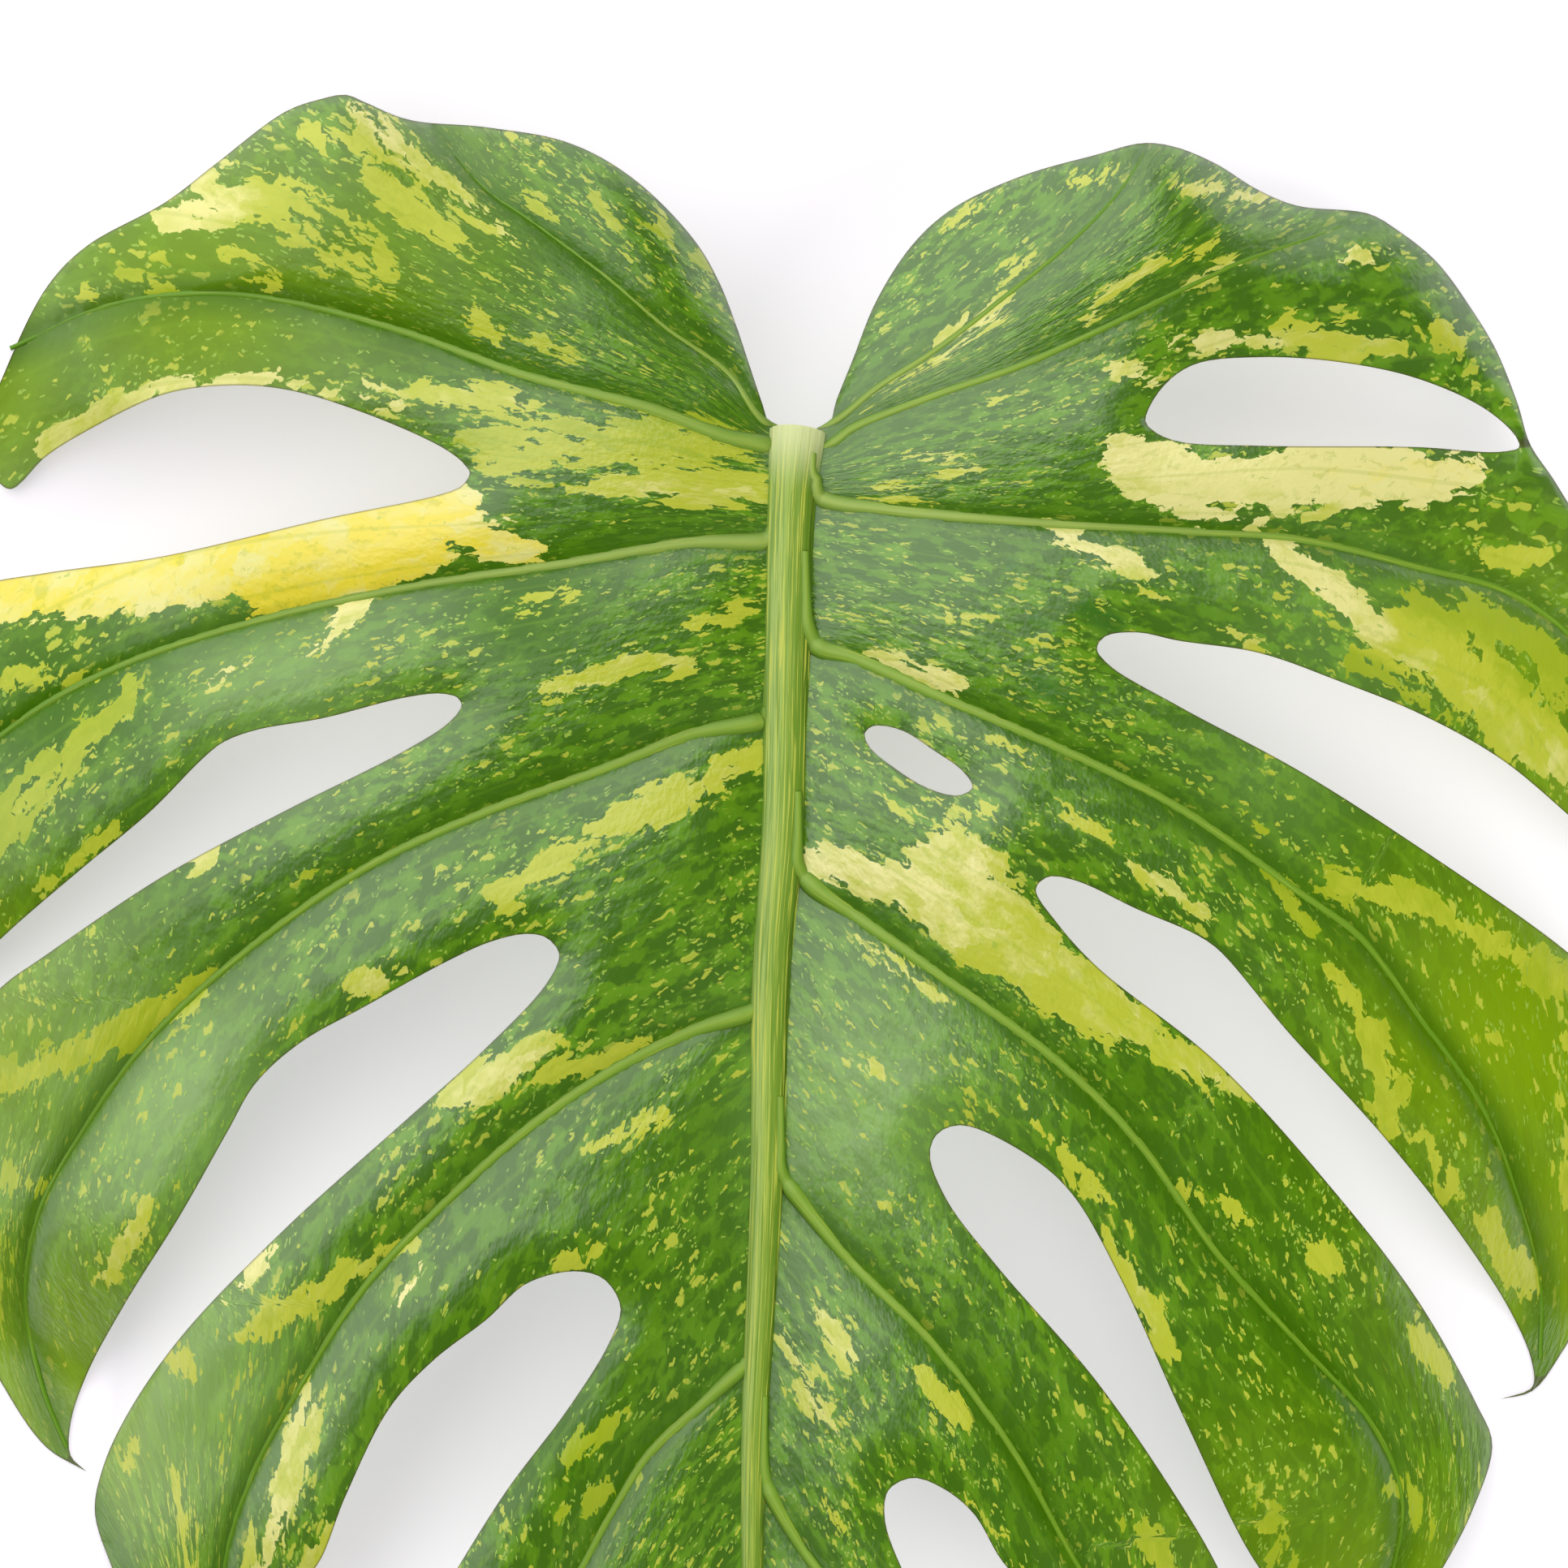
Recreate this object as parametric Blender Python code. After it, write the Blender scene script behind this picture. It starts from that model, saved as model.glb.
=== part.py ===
"""A large split monstera leaf, picked with a short stub of its stalk and lying face up on a surface.

Plan sizes are in millimetres, x to the right and y towards the stalk, from the joint of stalk and
midrib. The blade is one thin shell with its slots, two perforations and raised ribs. It arches like
a low umbrella: the lobe tips droop on to the surface, and the stalk's cut end stands on it.
"""

import math

import bpy
import numpy as np
from mathutils import Vector
from mathutils.geometry import delaunay_2d_cdt

MM = 0.001

# Thickness of the blade, and the arch that it lies in
BLADE_THICK = 0.8
CROWN_HEIGHT = 62.0
CROWN_Y = -70.0
SIDE_FALL = 0.00106
LENGTH_FALL = 0.00047
MIDRIB_FOLD = 7.0
FOLD_REACH = 26.0
QUILT_RISE = 0.09
QUILT_WIDEST = 55.0
QUILT_ROOT = 13.0
OUTER_SECTOR = 40.0
EDGE_ROLL = 3.5
EDGE_REACH = 13.0
BASAL_ROLL = 15.0
BASAL_REACH = 36.0
BASAL_WAVE = 5.0
BASAL_WAVE_LENGTH = 75.0
LEFT_CREST_X = -112.0
RIGHT_CREST_X = 85.0
SETTLE = 4.0

# Lobe tips that sag on to the surface: x, y, how far they sag, and how far in the sag starts
DROOPS = (
    (-204, -2, 24, 75),
    (-228, -165, 14, 70),
    (-183, -247, 20, 60),
    (-139, -316, 12, 55),
    (-99, -342, 12, 55),
    (-10, -426, 14, 70),
    (99, -334, 12, 55),
    (136, -306, 12, 55),
    (184, -230, 20, 60),
    (227, -138, 15, 65),
    (180, 4, 15, 70),
)

# Ribs: half widths, how far they stand proud above and below the blade
MIDRIB_HALF = ((-428, 0.7), (-280, 2.2), (-154, 3.9), (-94, 4.9), (-14, 4.9), (0, 6.0))
MIDRIB_RISE = 0.30
MIDRIB_KEEL = 0.85
RIB_HALF_ROOT = 1.8
RIB_HALF_TIP = 0.7
RIB_RISE = 0.55
RIB_KEEL = 1.2

# The stalk's stub: it leaves the underside just below the sinus and stands on its cut end
STALK_CENTRE = (0.0, -7.6)
STALK_RADIUS = 5.8
KNEE_RADIUS = 6.6
STALK_FOOT = (1.5, -15.0)
STALK_SIDES = 16
STALK_RINGS = 6

# Facet sizes
GRID = 10.5
LONGEST_EDGE = 8.0
SHARPEST_TURN = math.radians(26)
RIB_STEP = 9.5
CLEAR_OF_LINES = 0.52
CURVE_STEP = 0.6

# The midrib, from the stalk to the leaf's tip
MIDRIB = (
    (0, 2), (-1.6, -14), (-3, -54), (-4, -94), (-6.8, -134), (-7.8, -174),
    (-9.4, -214), (-11.2, -250), (-11.6, -290), (-11.5, -340), (-10.5, -390), (-8, -429),
)

# Side ribs, from the midrib outwards, each list from the sinus to the tip
LEFT_RIBS = (
    ((-9, 2), (-18, 14), (-33, 25), (-47, 37), (-67, 52), (-77, 59), (-90, 74)),
    ((-9, -4), (-18, -2), (-37, 5), (-67, 13), (-97, 24), (-127, 32), (-147, 34), (-172, 31), (-196, 21)),
    ((-7, -27), (-27, -28), (-57, -33), (-97, -39), (-137, -48), (-167, -58), (-190, -70), (-212, -89),
     (-225, -112), (-231, -138), (-228, -164)),
    ((-8, -71), (-27, -75), (-47, -83), (-77, -94), (-107, -108), (-137, -129), (-161, -151),
     (-177, -173), (-188, -193), (-192, -215), (-188, -237), (-182, -252)),
    ((-10, -142), (-27, -148), (-47, -158), (-67, -172), (-87, -190), (-107, -211), (-122, -234),
     (-135, -258), (-142, -280), (-143, -300), (-138, -320)),
    ((-12, -228), (-22, -238), (-37, -252), (-47, -268), (-56, -284), (-72, -303), (-88, -322), (-99, -344)),
    ((-12, -295), (-22, -304), (-36, -319), (-49, -338), (-59, -360), (-65, -380)),
    ((-11, -350), (-19, -360), (-26, -373), (-30, -390)),
)
RIGHT_RIBS = (
    ((9, 2), (19, 10), (33, 19), (50, 32), (68, 47), (80, 60), (86, 70)),
    ((9, -3), (13, 0), (33, 8), (53, 15), (73, 24), (93, 34), (108, 41), (125, 47), (141, 53)),
    ((3, -17), (23, -20), (57, -23), (93, -25), (123, -27), (153, -34), (175, -40), (192, -52),
     (208, -74), (218, -98), (225, -122), (227, -140)),
    ((3, -54), (13, -56), (33, -65), (63, -78), (93, -93), (123, -114), (138, -125), (153, -145),
     (168, -166), (178, -190), (184, -212), (184, -230)),
    ((2, -113), (13, -119), (33, -133), (63, -155), (83, -175), (103, -203), (123, -225), (141, -245),
     (149, -264), (146, -285), (136, -308)),
    ((-3, -188), (13, -205), (33, -225), (53, -252), (68, -279), (82, -300), (94, -320), (99, -336)),
    ((-9, -262), (1, -276), (14, -293), (27, -312), (40, -335), (50, -362)),
    ((-9, -345), (0, -357), (8, -371), (12, -388)),
)

# The cut edge, in runs that meet at the lobes' tips, from the sinus to the leaf's tip
LEFT_EDGE = (
    # Basal lobe with its waved margin, first slot, outer margin of the second lobe
    ((0, 0), (-7, 1), (-9, 6), (-12, 15), (-16, 27), (-20, 37), (-26, 47), (-41, 62), (-57, 71),
     (-77, 75), (-97, 77), (-107, 81), (-112, 83), (-118, 82), (-127, 79), (-145, 66), (-157, 57),
     (-177, 46), (-187, 36), (-197, 16), (-202, 2), (-201, -9), (-196, -14), (-187, -6), (-177, 0),
     (-157, 9), (-142, 11), (-127, 10), (-107, 4), (-87, -5), (-82, -9), (-81, -11), (-83, -14),
     (-88, -16), (-117, -22), (-157, -31), (-187, -35), (-203, -38), (-217, -46), (-228, -60),
     (-236, -80), (-240, -104), (-240, -128), (-236, -150), (-226, -177)),
    # Second slot, outer margin of the third lobe and its hooked drip tip
    ((-226, -177), (-222, -160), (-215, -145), (-206, -134), (-197, -125), (-177, -108), (-160, -94),
     (-147, -81), (-142, -77), (-134, -74), (-117, -71), (-97, -66), (-88, -65), (-84, -66),
     (-83, -68), (-86, -72), (-97, -79), (-127, -94), (-157, -110), (-187, -130), (-197, -137),
     (-206, -147), (-211, -162), (-213, -184), (-210, -206), (-204, -224), (-197, -238),
     (-187, -252), (-177, -258)),
    # Third slot and fourth lobe
    ((-177, -258), (-181, -254), (-181, -246), (-177, -234), (-167, -216), (-153, -194), (-141, -173),
     (-134, -161), (-123, -151), (-107, -142), (-87, -131), (-76, -126), (-67, -124), (-62, -125),
     (-59, -129), (-62, -136), (-77, -152), (-97, -170), (-127, -197), (-153, -224), (-167, -244),
     (-173, -257), (-175, -268), (-171, -281), (-164, -296), (-154, -309), (-136, -326)),
    # Fourth slot and fifth lobe
    ((-136, -326), (-136, -312), (-132, -297), (-126, -287), (-119, -280), (-112, -263), (-101, -241),
     (-90, -229), (-77, -219), (-67, -210), (-55, -207), (-48, -209), (-44, -216), (-47, -225),
     (-57, -241), (-72, -261), (-84, -280), (-94, -297), (-102, -314), (-105, -332), (-101, -351)),
    # Fifth slot and sixth lobe
    ((-101, -351), (-97, -338), (-87, -325), (-71, -311), (-54, -301), (-41, -295), (-33, -294),
     (-29, -299), (-33, -309), (-46, -324), (-58, -341), (-67, -360), (-70, -376), (-66, -390)),
    # Last notch and the pointed end
    ((-66, -390), (-62, -379), (-53, -369), (-41, -361), (-31, -356), (-26, -357), (-25, -362),
     (-31, -372), (-36, -384), (-35, -397), (-27, -411), (-8, -430)),
)
RIGHT_EDGE = (
    # Basal lobe, the thread of margin that closes the long perforation, second lobe
    ((0, 0), (7, 1), (9, 7), (13, 17), (19, 32), (28, 46), (38, 55), (55, 63), (73, 68), (85, 71),
     (93, 70), (103, 66), (113, 60), (123, 56), (141, 54), (148, 50), (158, 42), (167, 30),
     (173, 20), (178, 7), (181, -3), (187, -12), (197, -29), (207, -48), (216, -69), (223, -92),
     (228, -116), (229, -145)),
    # Second slot, third lobe and its hooked drip tip
    ((229, -145), (222, -132), (212, -117), (200, -104), (189, -94), (173, -81), (153, -70),
     (133, -62), (113, -55), (93, -52), (83, -50), (75, -51), (73, -54), (76, -58), (93, -68),
     (123, -84), (153, -103), (189, -128), (199, -137), (204, -150), (206, -168), (204, -190),
     (199, -210), (189, -229), (182, -238), (174, -240)),
    # Third slot and fourth lobe
    ((174, -240), (182, -237), (182, -231), (177, -219), (163, -198), (143, -173), (120, -148),
     (103, -128), (97, -124), (83, -118), (68, -111), (61, -110), (58, -113), (63, -121), (73, -132),
     (103, -156), (133, -189), (153, -215), (168, -241), (172, -251), (167, -267), (158, -284),
     (147, -301), (130, -318)),
    # Fourth slot and fifth lobe
    ((130, -318), (132, -308), (126, -295), (113, -280), (95, -244), (79, -209), (67, -188),
     (57, -179), (40, -171), (34, -173), (32, -178), (36, -189), (48, -205), (73, -234), (93, -263),
     (103, -280), (109, -294), (111, -310), (108, -326), (99, -342)),
    # Fifth slot and sixth lobe
    ((99, -342), (96, -329), (85, -311), (68, -294), (51, -280), (43, -267), (36, -261), (28, -258),
     (22, -261), (21, -268), (25, -280), (35, -298), (46, -318), (55, -338), (58, -356), (52, -379)),
    # Last notch and the pointed end
    ((52, -379), (50, -369), (42, -357), (31, -347), (23, -342), (18, -344), (18, -353), (23, -368),
     (24, -383), (20, -397), (8, -413), (-8, -430)),
)

# Perforations: the long one that almost reaches the margin, and the small one by the midrib
LONG_HOLE = (
    (85, 2), (89, 10), (97, 16), (113, 18), (133, 17), (153, 13), (170, 5.5), (177.6, -1.4),
    (178.2, -3.8), (173, -5), (153, -4), (113, -4), (93, -3), (87, -0.5),
)
SMALL_HOLE = (
    (16, -75), (18, -73), (25, -74), (33, -79), (40, -84), (42.4, -88), (39, -90), (31, -88),
    (23, -83), (17.5, -78.5),
)

LEAF_GREEN = (0.10, 0.27, 0.035, 1.0)
LEAF_ROUGHNESS = 0.38


def clear_scene():
    for thing in list(bpy.data.objects):
        bpy.data.objects.remove(thing, do_unlink=True)


def smooth_path(points, closed=False):
    """A smooth curve through the points, as points about CURVE_STEP apart (centripetal Catmull-Rom)."""
    p = np.array(points, float)
    if closed:
        p = np.vstack([p[-1], p, p[0], p[1]])
    else:
        p = np.vstack([2 * p[0] - p[1], p, 2 * p[-1] - p[-2]])
    curve = []
    for a, b, c, d in zip(p, p[1:], p[2:], p[3:]):
        t1 = math.sqrt(np.linalg.norm(b - a))
        t2 = t1 + math.sqrt(np.linalg.norm(c - b))
        t3 = t2 + math.sqrt(np.linalg.norm(d - c))
        steps = max(2, int(np.linalg.norm(c - b) / CURVE_STEP))
        t = np.linspace(t1, t2, steps, endpoint=False)[:, None]
        ab = a + (b - a) * t / t1
        bc = b + (c - b) * (t - t1) / (t2 - t1)
        cd = c + (d - c) * (t - t2) / (t3 - t2)
        abc = ab + (bc - ab) * t / t2
        bcd = bc + (cd - bc) * (t - t1) / (t3 - t1)
        curve.append(abc + (bcd - abc) * (t - t1) / (t2 - t1))
    if not closed:
        curve.append(p[-2][None, :])
    return np.vstack(curve)


def thinned(curve):
    """Only the points that the curve's shape needs: closer together where it turns."""
    kept = [0]
    turned = 0.0
    for i in range(1, len(curve) - 1):
        before = curve[i] - curve[i - 1]
        after = curve[i + 1] - curve[i]
        turned += abs(math.atan2(before[0] * after[1] - before[1] * after[0], before @ after))
        if turned > SHARPEST_TURN or np.linalg.norm(curve[i] - curve[kept[-1]]) > LONGEST_EDGE:
            kept.append(i)
            turned = 0.0
    return curve[kept]


def blade_edge():
    """The closed outline: up the left side's runs to the leaf's tip, and back along the right's."""
    left = [thinned(smooth_path(run)) for run in LEFT_EDGE]
    right = [thinned(smooth_path(run)[::-1]) for run in reversed(RIGHT_EDGE)]
    return np.vstack(left + right)


def spaced(path, step):
    """Points an equal distance apart along a path, about step."""
    lengths = np.concatenate([[0], np.cumsum(np.linalg.norm(np.diff(path, axis=0), axis=1))])
    count = max(2, round(lengths[-1] / step) + 1)
    at = np.linspace(0, lengths[-1], count)
    return np.column_stack([np.interp(at, lengths, path[:, i]) for i in (0, 1)])


def nearest(path, x, y):
    """For each point: distance to the path, how far along it is the nearest place, and the side."""
    start = path[:-1]
    run = np.diff(path, axis=0)
    length = np.linalg.norm(run, axis=1)
    travelled = np.concatenate([[0], np.cumsum(length)[:-1]])
    best = np.full(len(x), np.inf)
    along = np.zeros(len(x))
    side = np.ones(len(x))
    for a, r, size, done in zip(start, run, length, travelled):
        t = np.clip(((x - a[0]) * r[0] + (y - a[1]) * r[1]) / size**2, 0, 1)
        gap = np.hypot(x - a[0] - t * r[0], y - a[1] - t * r[1])
        closer = gap < best
        best[closer] = gap[closer]
        along[closer] = done + t[closer] * size
        side[closer] = np.where(r[0] * (y - a[1]) - r[1] * (x - a[0]) >= 0, 1.0, -1.0)[closer]
    return best, along, side


def extended(path, by=300.0):
    """The path with its last stretch run straight on, past the margin."""
    way = path[-1] - path[-2]
    return np.vstack([path, path[-1] + way / np.linalg.norm(way) * by])


def sector_place(ribs, hand, x, y):
    """Width of the gap between the two ribs beside each point, and how far across it the point lies."""
    signed = []
    for rib in ribs:
        gap, _, side = nearest(extended(spaced(smooth_path(rib), RIB_STEP)), x, y)
        signed.append(gap * side * hand)
    rows = np.array([signed[0] + OUTER_SECTOR] + signed + [signed[-1] - OUTER_SECTOR])
    above = (np.array(signed) >= 0).sum(axis=0)
    every = np.arange(len(x))
    upper = np.maximum(rows[above, every], 0.0)
    lower = np.maximum(-rows[above + 1, every], 0.0)
    width = upper + lower + 1e-6
    return width, upper / width


def midrib_x(y):
    path = smooth_path(MIDRIB)
    return np.interp(-y, -path[:, 1], path[:, 0])


def quilting(x, y):
    """The blade swells between its ribs, so that each rib lies in a valley."""
    rise = np.zeros(len(x))
    beside = x - midrib_x(y)
    for ribs, hand in ((LEFT_RIBS, 1), (RIGHT_RIBS, -1)):
        mine = beside * hand <= 0
        width, across = sector_place(ribs, hand, x[mine], y[mine])
        rise[mine] = QUILT_RISE * np.minimum(width, QUILT_WIDEST) * (4 * across * (1 - across)) ** 0.7
    return rise * (1 - np.exp(-((beside / QUILT_ROOT) ** 2)))


def margin_roll(x, y, edge_gap):
    """Cut edges turn down a little, and the basal lobes' margins roll away in waves."""
    roll = EDGE_ROLL * np.clip(1 - edge_gap / EDGE_REACH, 0, 1) ** 2
    basal = np.clip((y - 8) / 30, 0, 1)
    near = np.clip(1 - edge_gap / BASAL_REACH, 0, 1)
    crest = np.where(x < 0, LEFT_CREST_X, RIGHT_CREST_X)
    wave = BASAL_WAVE * np.cos(2 * math.pi * (x - crest) / BASAL_WAVE_LENGTH)
    return roll + basal * (BASAL_ROLL * near**2 - wave * near)


def underside(x, y, edge_gap):
    """Height of the blade's underside, without its ribs. It never goes below the surface."""
    height = CROWN_HEIGHT - SIDE_FALL * x**2 - LENGTH_FALL * (y - CROWN_Y) ** 2
    height -= MIDRIB_FOLD * np.exp(-(((x - midrib_x(y)) / FOLD_REACH) ** 2))
    height += quilting(x, y) - margin_roll(x, y, edge_gap)
    for tip_x, tip_y, sag, reach in DROOPS:
        near = np.clip(1 - np.hypot(x - tip_x, y - tip_y) / reach, 0, 1)
        height -= sag * near * near * (3 - 2 * near)
    settled = (height + SETTLE) ** 2 / (4 * SETTLE)
    return np.where(height > SETTLE, height, np.where(height < -SETTLE, 0.0, settled))


def rib_relief(x, y):
    """How far the ribs stand above the blade and below it at each point."""
    rise = np.zeros(len(x))
    keel = np.zeros(len(x))
    gap, _, _ = nearest(spaced(smooth_path(MIDRIB), RIB_STEP), x, y)
    half = np.interp(y, *zip(*MIDRIB_HALF))
    round_off = np.sqrt(np.clip(1 - (gap / half) ** 2, 0, 1))
    rise = MIDRIB_RISE * half * round_off
    keel = MIDRIB_KEEL * half * round_off
    for rib in LEFT_RIBS + RIGHT_RIBS:
        path = spaced(smooth_path(rib), RIB_STEP)
        total = np.linalg.norm(np.diff(path, axis=0), axis=1).sum()
        gap, along, _ = nearest(path, x, y)
        half = RIB_HALF_ROOT + (RIB_HALF_TIP - RIB_HALF_ROOT) * along / total
        round_off = np.sqrt(np.clip(1 - (gap / half) ** 2, 0, 1))
        rise = np.maximum(rise, RIB_RISE * half * round_off)
        keel = np.maximum(keel, RIB_KEEL * half * round_off)
    return rise, keel


def rib_lines():
    """The lines that the facets follow: each rib's crest and its two feet."""
    lines = []
    middle = spaced(smooth_path(MIDRIB), RIB_STEP)
    middle = middle[(middle[:, 1] < STALK_CENTRE[1] - KNEE_RADIUS - 2) & (middle[:, 1] > -420)]
    half = np.interp(middle[:, 1], *zip(*MIDRIB_HALF))
    for share in (-1, -0.6, 0, 0.6, 1):
        lines.append(middle + np.column_stack([half * share, np.zeros(len(middle))]))
    for rib in LEFT_RIBS + RIGHT_RIBS:
        path = spaced(smooth_path(rib), RIB_STEP)[:-1]
        way = np.gradient(path, axis=0)
        way /= np.linalg.norm(way, axis=1)[:, None]
        across = np.column_stack([-way[:, 1], way[:, 0]])
        half = np.linspace(RIB_HALF_ROOT, RIB_HALF_TIP, len(path))[:, None]
        outside = np.abs(path[:, 0] - midrib_x(path[:, 1])) > np.interp(path[:, 1], *zip(*MIDRIB_HALF)) + 2.2
        for share in (-1, 0, 1):
            lines.append((path + across * half * share)[outside])
    return lines


def inside(loop, x, y):
    """Whether each point lies inside a closed loop."""
    result = np.zeros(len(x), bool)
    for a, b in zip(loop, np.roll(loop, -1, axis=0)):
        crosses = (a[1] > y) != (b[1] > y)
        if a[1] != b[1]:
            result ^= crosses & (x < (b[0] - a[0]) * (y - a[1]) / (b[1] - a[1]) + a[0])
    return result


def stalk_loop():
    turn = 2 * math.pi * np.arange(STALK_SIDES) / STALK_SIDES
    return np.array(STALK_CENTRE) + STALK_RADIUS * np.column_stack([np.cos(turn), np.sin(turn)])


def grid_points(lines):
    """A triangular grid over the blade, kept clear of the lines that are already there."""
    rows = np.arange(-432, 90, GRID * math.sqrt(3) / 2)
    points = []
    for i, y in enumerate(rows):
        x = np.arange(-245, 236, GRID) + (GRID / 2 if i % 2 else 0)
        points.append(np.column_stack([x, np.full(len(x), y)]))
    points = np.vstack(points)
    gap = np.full(len(points), np.inf)
    for line in lines:
        if len(line) > 1:
            gap = np.minimum(gap, nearest(line, points[:, 0], points[:, 1])[0])
    return points[gap > GRID * CLEAR_OF_LINES]


def closed(loop):
    return np.vstack([loop, loop[:1]])


def facets():
    """The blade's plan as triangles: points, triangles, and which triangles lie over the stalk."""
    edge = blade_edge()
    holes = [thinned(smooth_path(hole, closed=True)) for hole in (LONG_HOLE, SMALL_HOLE)]
    loops = [edge] + holes + [stalk_loop()]
    lines = [line for line in rib_lines() if len(line) > 1]
    grid = grid_points([closed(loop) for loop in loops] + lines)
    points = []
    edges = []
    for loop in loops:
        first = len(points)
        points.extend(loop)
        edges.extend((first + i, first + (i + 1) % len(loop)) for i in range(len(loop)))
    for line in lines:
        first = len(points)
        points.extend(line)
        edges.extend((first + i, first + i + 1) for i in range(len(line) - 1))
    points.extend(grid)
    made = delaunay_2d_cdt([Vector(p) for p in points], edges, [], 0, 1e-4)
    flat = np.array([tuple(p) for p in made[0]])
    triangles = np.array(made[2])
    middle = flat[triangles].mean(axis=1)
    kept = inside(edge, middle[:, 0], middle[:, 1])
    for hole in holes:
        kept &= ~inside(hole, middle[:, 0], middle[:, 1])
    triangles = triangles[kept]
    over_stalk = inside(loops[-1], middle[kept, 0], middle[kept, 1])
    a, b, c = (flat[triangles[:, i]] for i in range(3))
    turned = (b[:, 0] - a[:, 0]) * (c[:, 1] - a[:, 1]) - (b[:, 1] - a[:, 1]) * (c[:, 0] - a[:, 0])
    triangles[turned < 0] = triangles[turned < 0][:, ::-1]
    used, triangles = np.unique(triangles, return_inverse=True)
    margins = [closed(loop) for loop in [edge] + holes]
    return flat[used], triangles.reshape(-1, 3), over_stalk, margins


def boundary(triangles):
    """Directed edges that only one triangle has."""
    edges = np.vstack([triangles[:, [0, 1]], triangles[:, [1, 2]], triangles[:, [2, 0]]])
    known = {tuple(edge) for edge in edges}
    return [edge for edge in known if edge[::-1] not in known]


def ordered(edges):
    """The edges' points in order round their one loop."""
    after = dict(edges)
    start = next(iter(sorted(after)))
    loop = [start]
    while after[loop[-1]] != start:
        loop.append(after[loop[-1]])
    return loop


def stalk_rings(loop, points):
    """Rings down the stub, from the points under the midrib to the flat cut end."""
    top = points[loop]
    turn = np.arctan2(top[:, 1] - STALK_CENTRE[1], top[:, 0] - STALK_CENTRE[0])
    drop = top[:, 2].mean()
    rings = []
    for i in range(1, STALK_RINGS + 1):
        t = i / STALK_RINGS
        knee = KNEE_RADIUS + (STALK_RADIUS - KNEE_RADIUS) * t
        lean = t * t * (3 - 2 * t)
        centre = np.array(STALK_CENTRE) + (np.array(STALK_FOOT) - np.array(STALK_CENTRE)) * lean
        height = top[:, 2] * (1 - t) ** 2 + drop * (1 - t) * t
        rings.append(np.column_stack([centre[0] + knee * np.cos(turn), centre[1] + knee * np.sin(turn), height]))
    return rings


def leaf_mesh():
    """Points in mm and triangles of the closed leaf."""
    flat, triangles, over_stalk, margins = facets()
    x, y = flat.T
    edge_gap = np.min([nearest(loop, x, y)[0] for loop in margins], axis=0)
    low = underside(x, y, edge_gap)
    probe = 0.5
    slope_x = (underside(x + probe, y, edge_gap) - low) / probe
    slope_y = (underside(x, y + probe, edge_gap) - low) / probe
    rise, keel = rib_relief(x, y)
    upper = low + BLADE_THICK * np.sqrt(1 + np.minimum(slope_x**2 + slope_y**2, 4.0)) + rise
    lower = np.maximum(low - keel, 0.0)
    count = len(flat)
    points = np.vstack([np.column_stack([flat, upper]), np.column_stack([flat, lower])])
    faces = [triangles, triangles[~over_stalk][:, ::-1] + count]
    rim = [(b, a, a + count, b + count) for a, b in boundary(triangles)]
    faces += [np.array([(p, q, r), (p, r, s)]) for p, q, r, s in rim]
    loop = [i + count for i in ordered(boundary(triangles[over_stalk]))]
    for ring in stalk_rings(loop, points):
        lower_loop = list(range(len(points), len(points) + len(ring)))
        points = np.vstack([points, ring])
        for i in range(len(loop)):
            j = (i + 1) % len(loop)
            faces.append(np.array([(loop[j], loop[i], lower_loop[i]), (loop[j], lower_loop[i], lower_loop[j])]))
        loop = lower_loop
    points = np.vstack([points, [[*STALK_FOOT, 0.0]]])
    last = len(points) - 1
    faces.append(np.array([(loop[(i + 1) % len(loop)], loop[i], last) for i in range(len(loop))]))
    return points, np.vstack(faces)


def leaf_material():
    material = bpy.data.materials.new("leaf tissue")
    material.use_nodes = True
    shader = material.node_tree.nodes["Principled BSDF"]
    shader.inputs["Base Color"].default_value = LEAF_GREEN
    shader.inputs["Roughness"].default_value = LEAF_ROUGHNESS
    shader.inputs["Metallic"].default_value = 0.0
    return material


def make_leaf():
    points, faces = leaf_mesh()
    used, faces = np.unique(faces, return_inverse=True)
    faces = faces.reshape(-1, 3)
    points = points[used]
    middle = (points.min(axis=0) + points.max(axis=0)) / 2
    points -= (middle[0], middle[1], 0.0)
    mesh = bpy.data.meshes.new("monstera_leaf")
    mesh.from_pydata((points * MM).tolist(), [], faces.tolist())
    mesh.shade_smooth()
    mesh.materials.append(leaf_material())
    leaf = bpy.data.objects.new("monstera_leaf", mesh)
    bpy.context.scene.collection.objects.link(leaf)
    return leaf


clear_scene()
make_leaf()
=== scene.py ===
import math

import bpy
import numpy as np
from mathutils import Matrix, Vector
from mathutils.geometry import delaunay_2d_cdt


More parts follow.
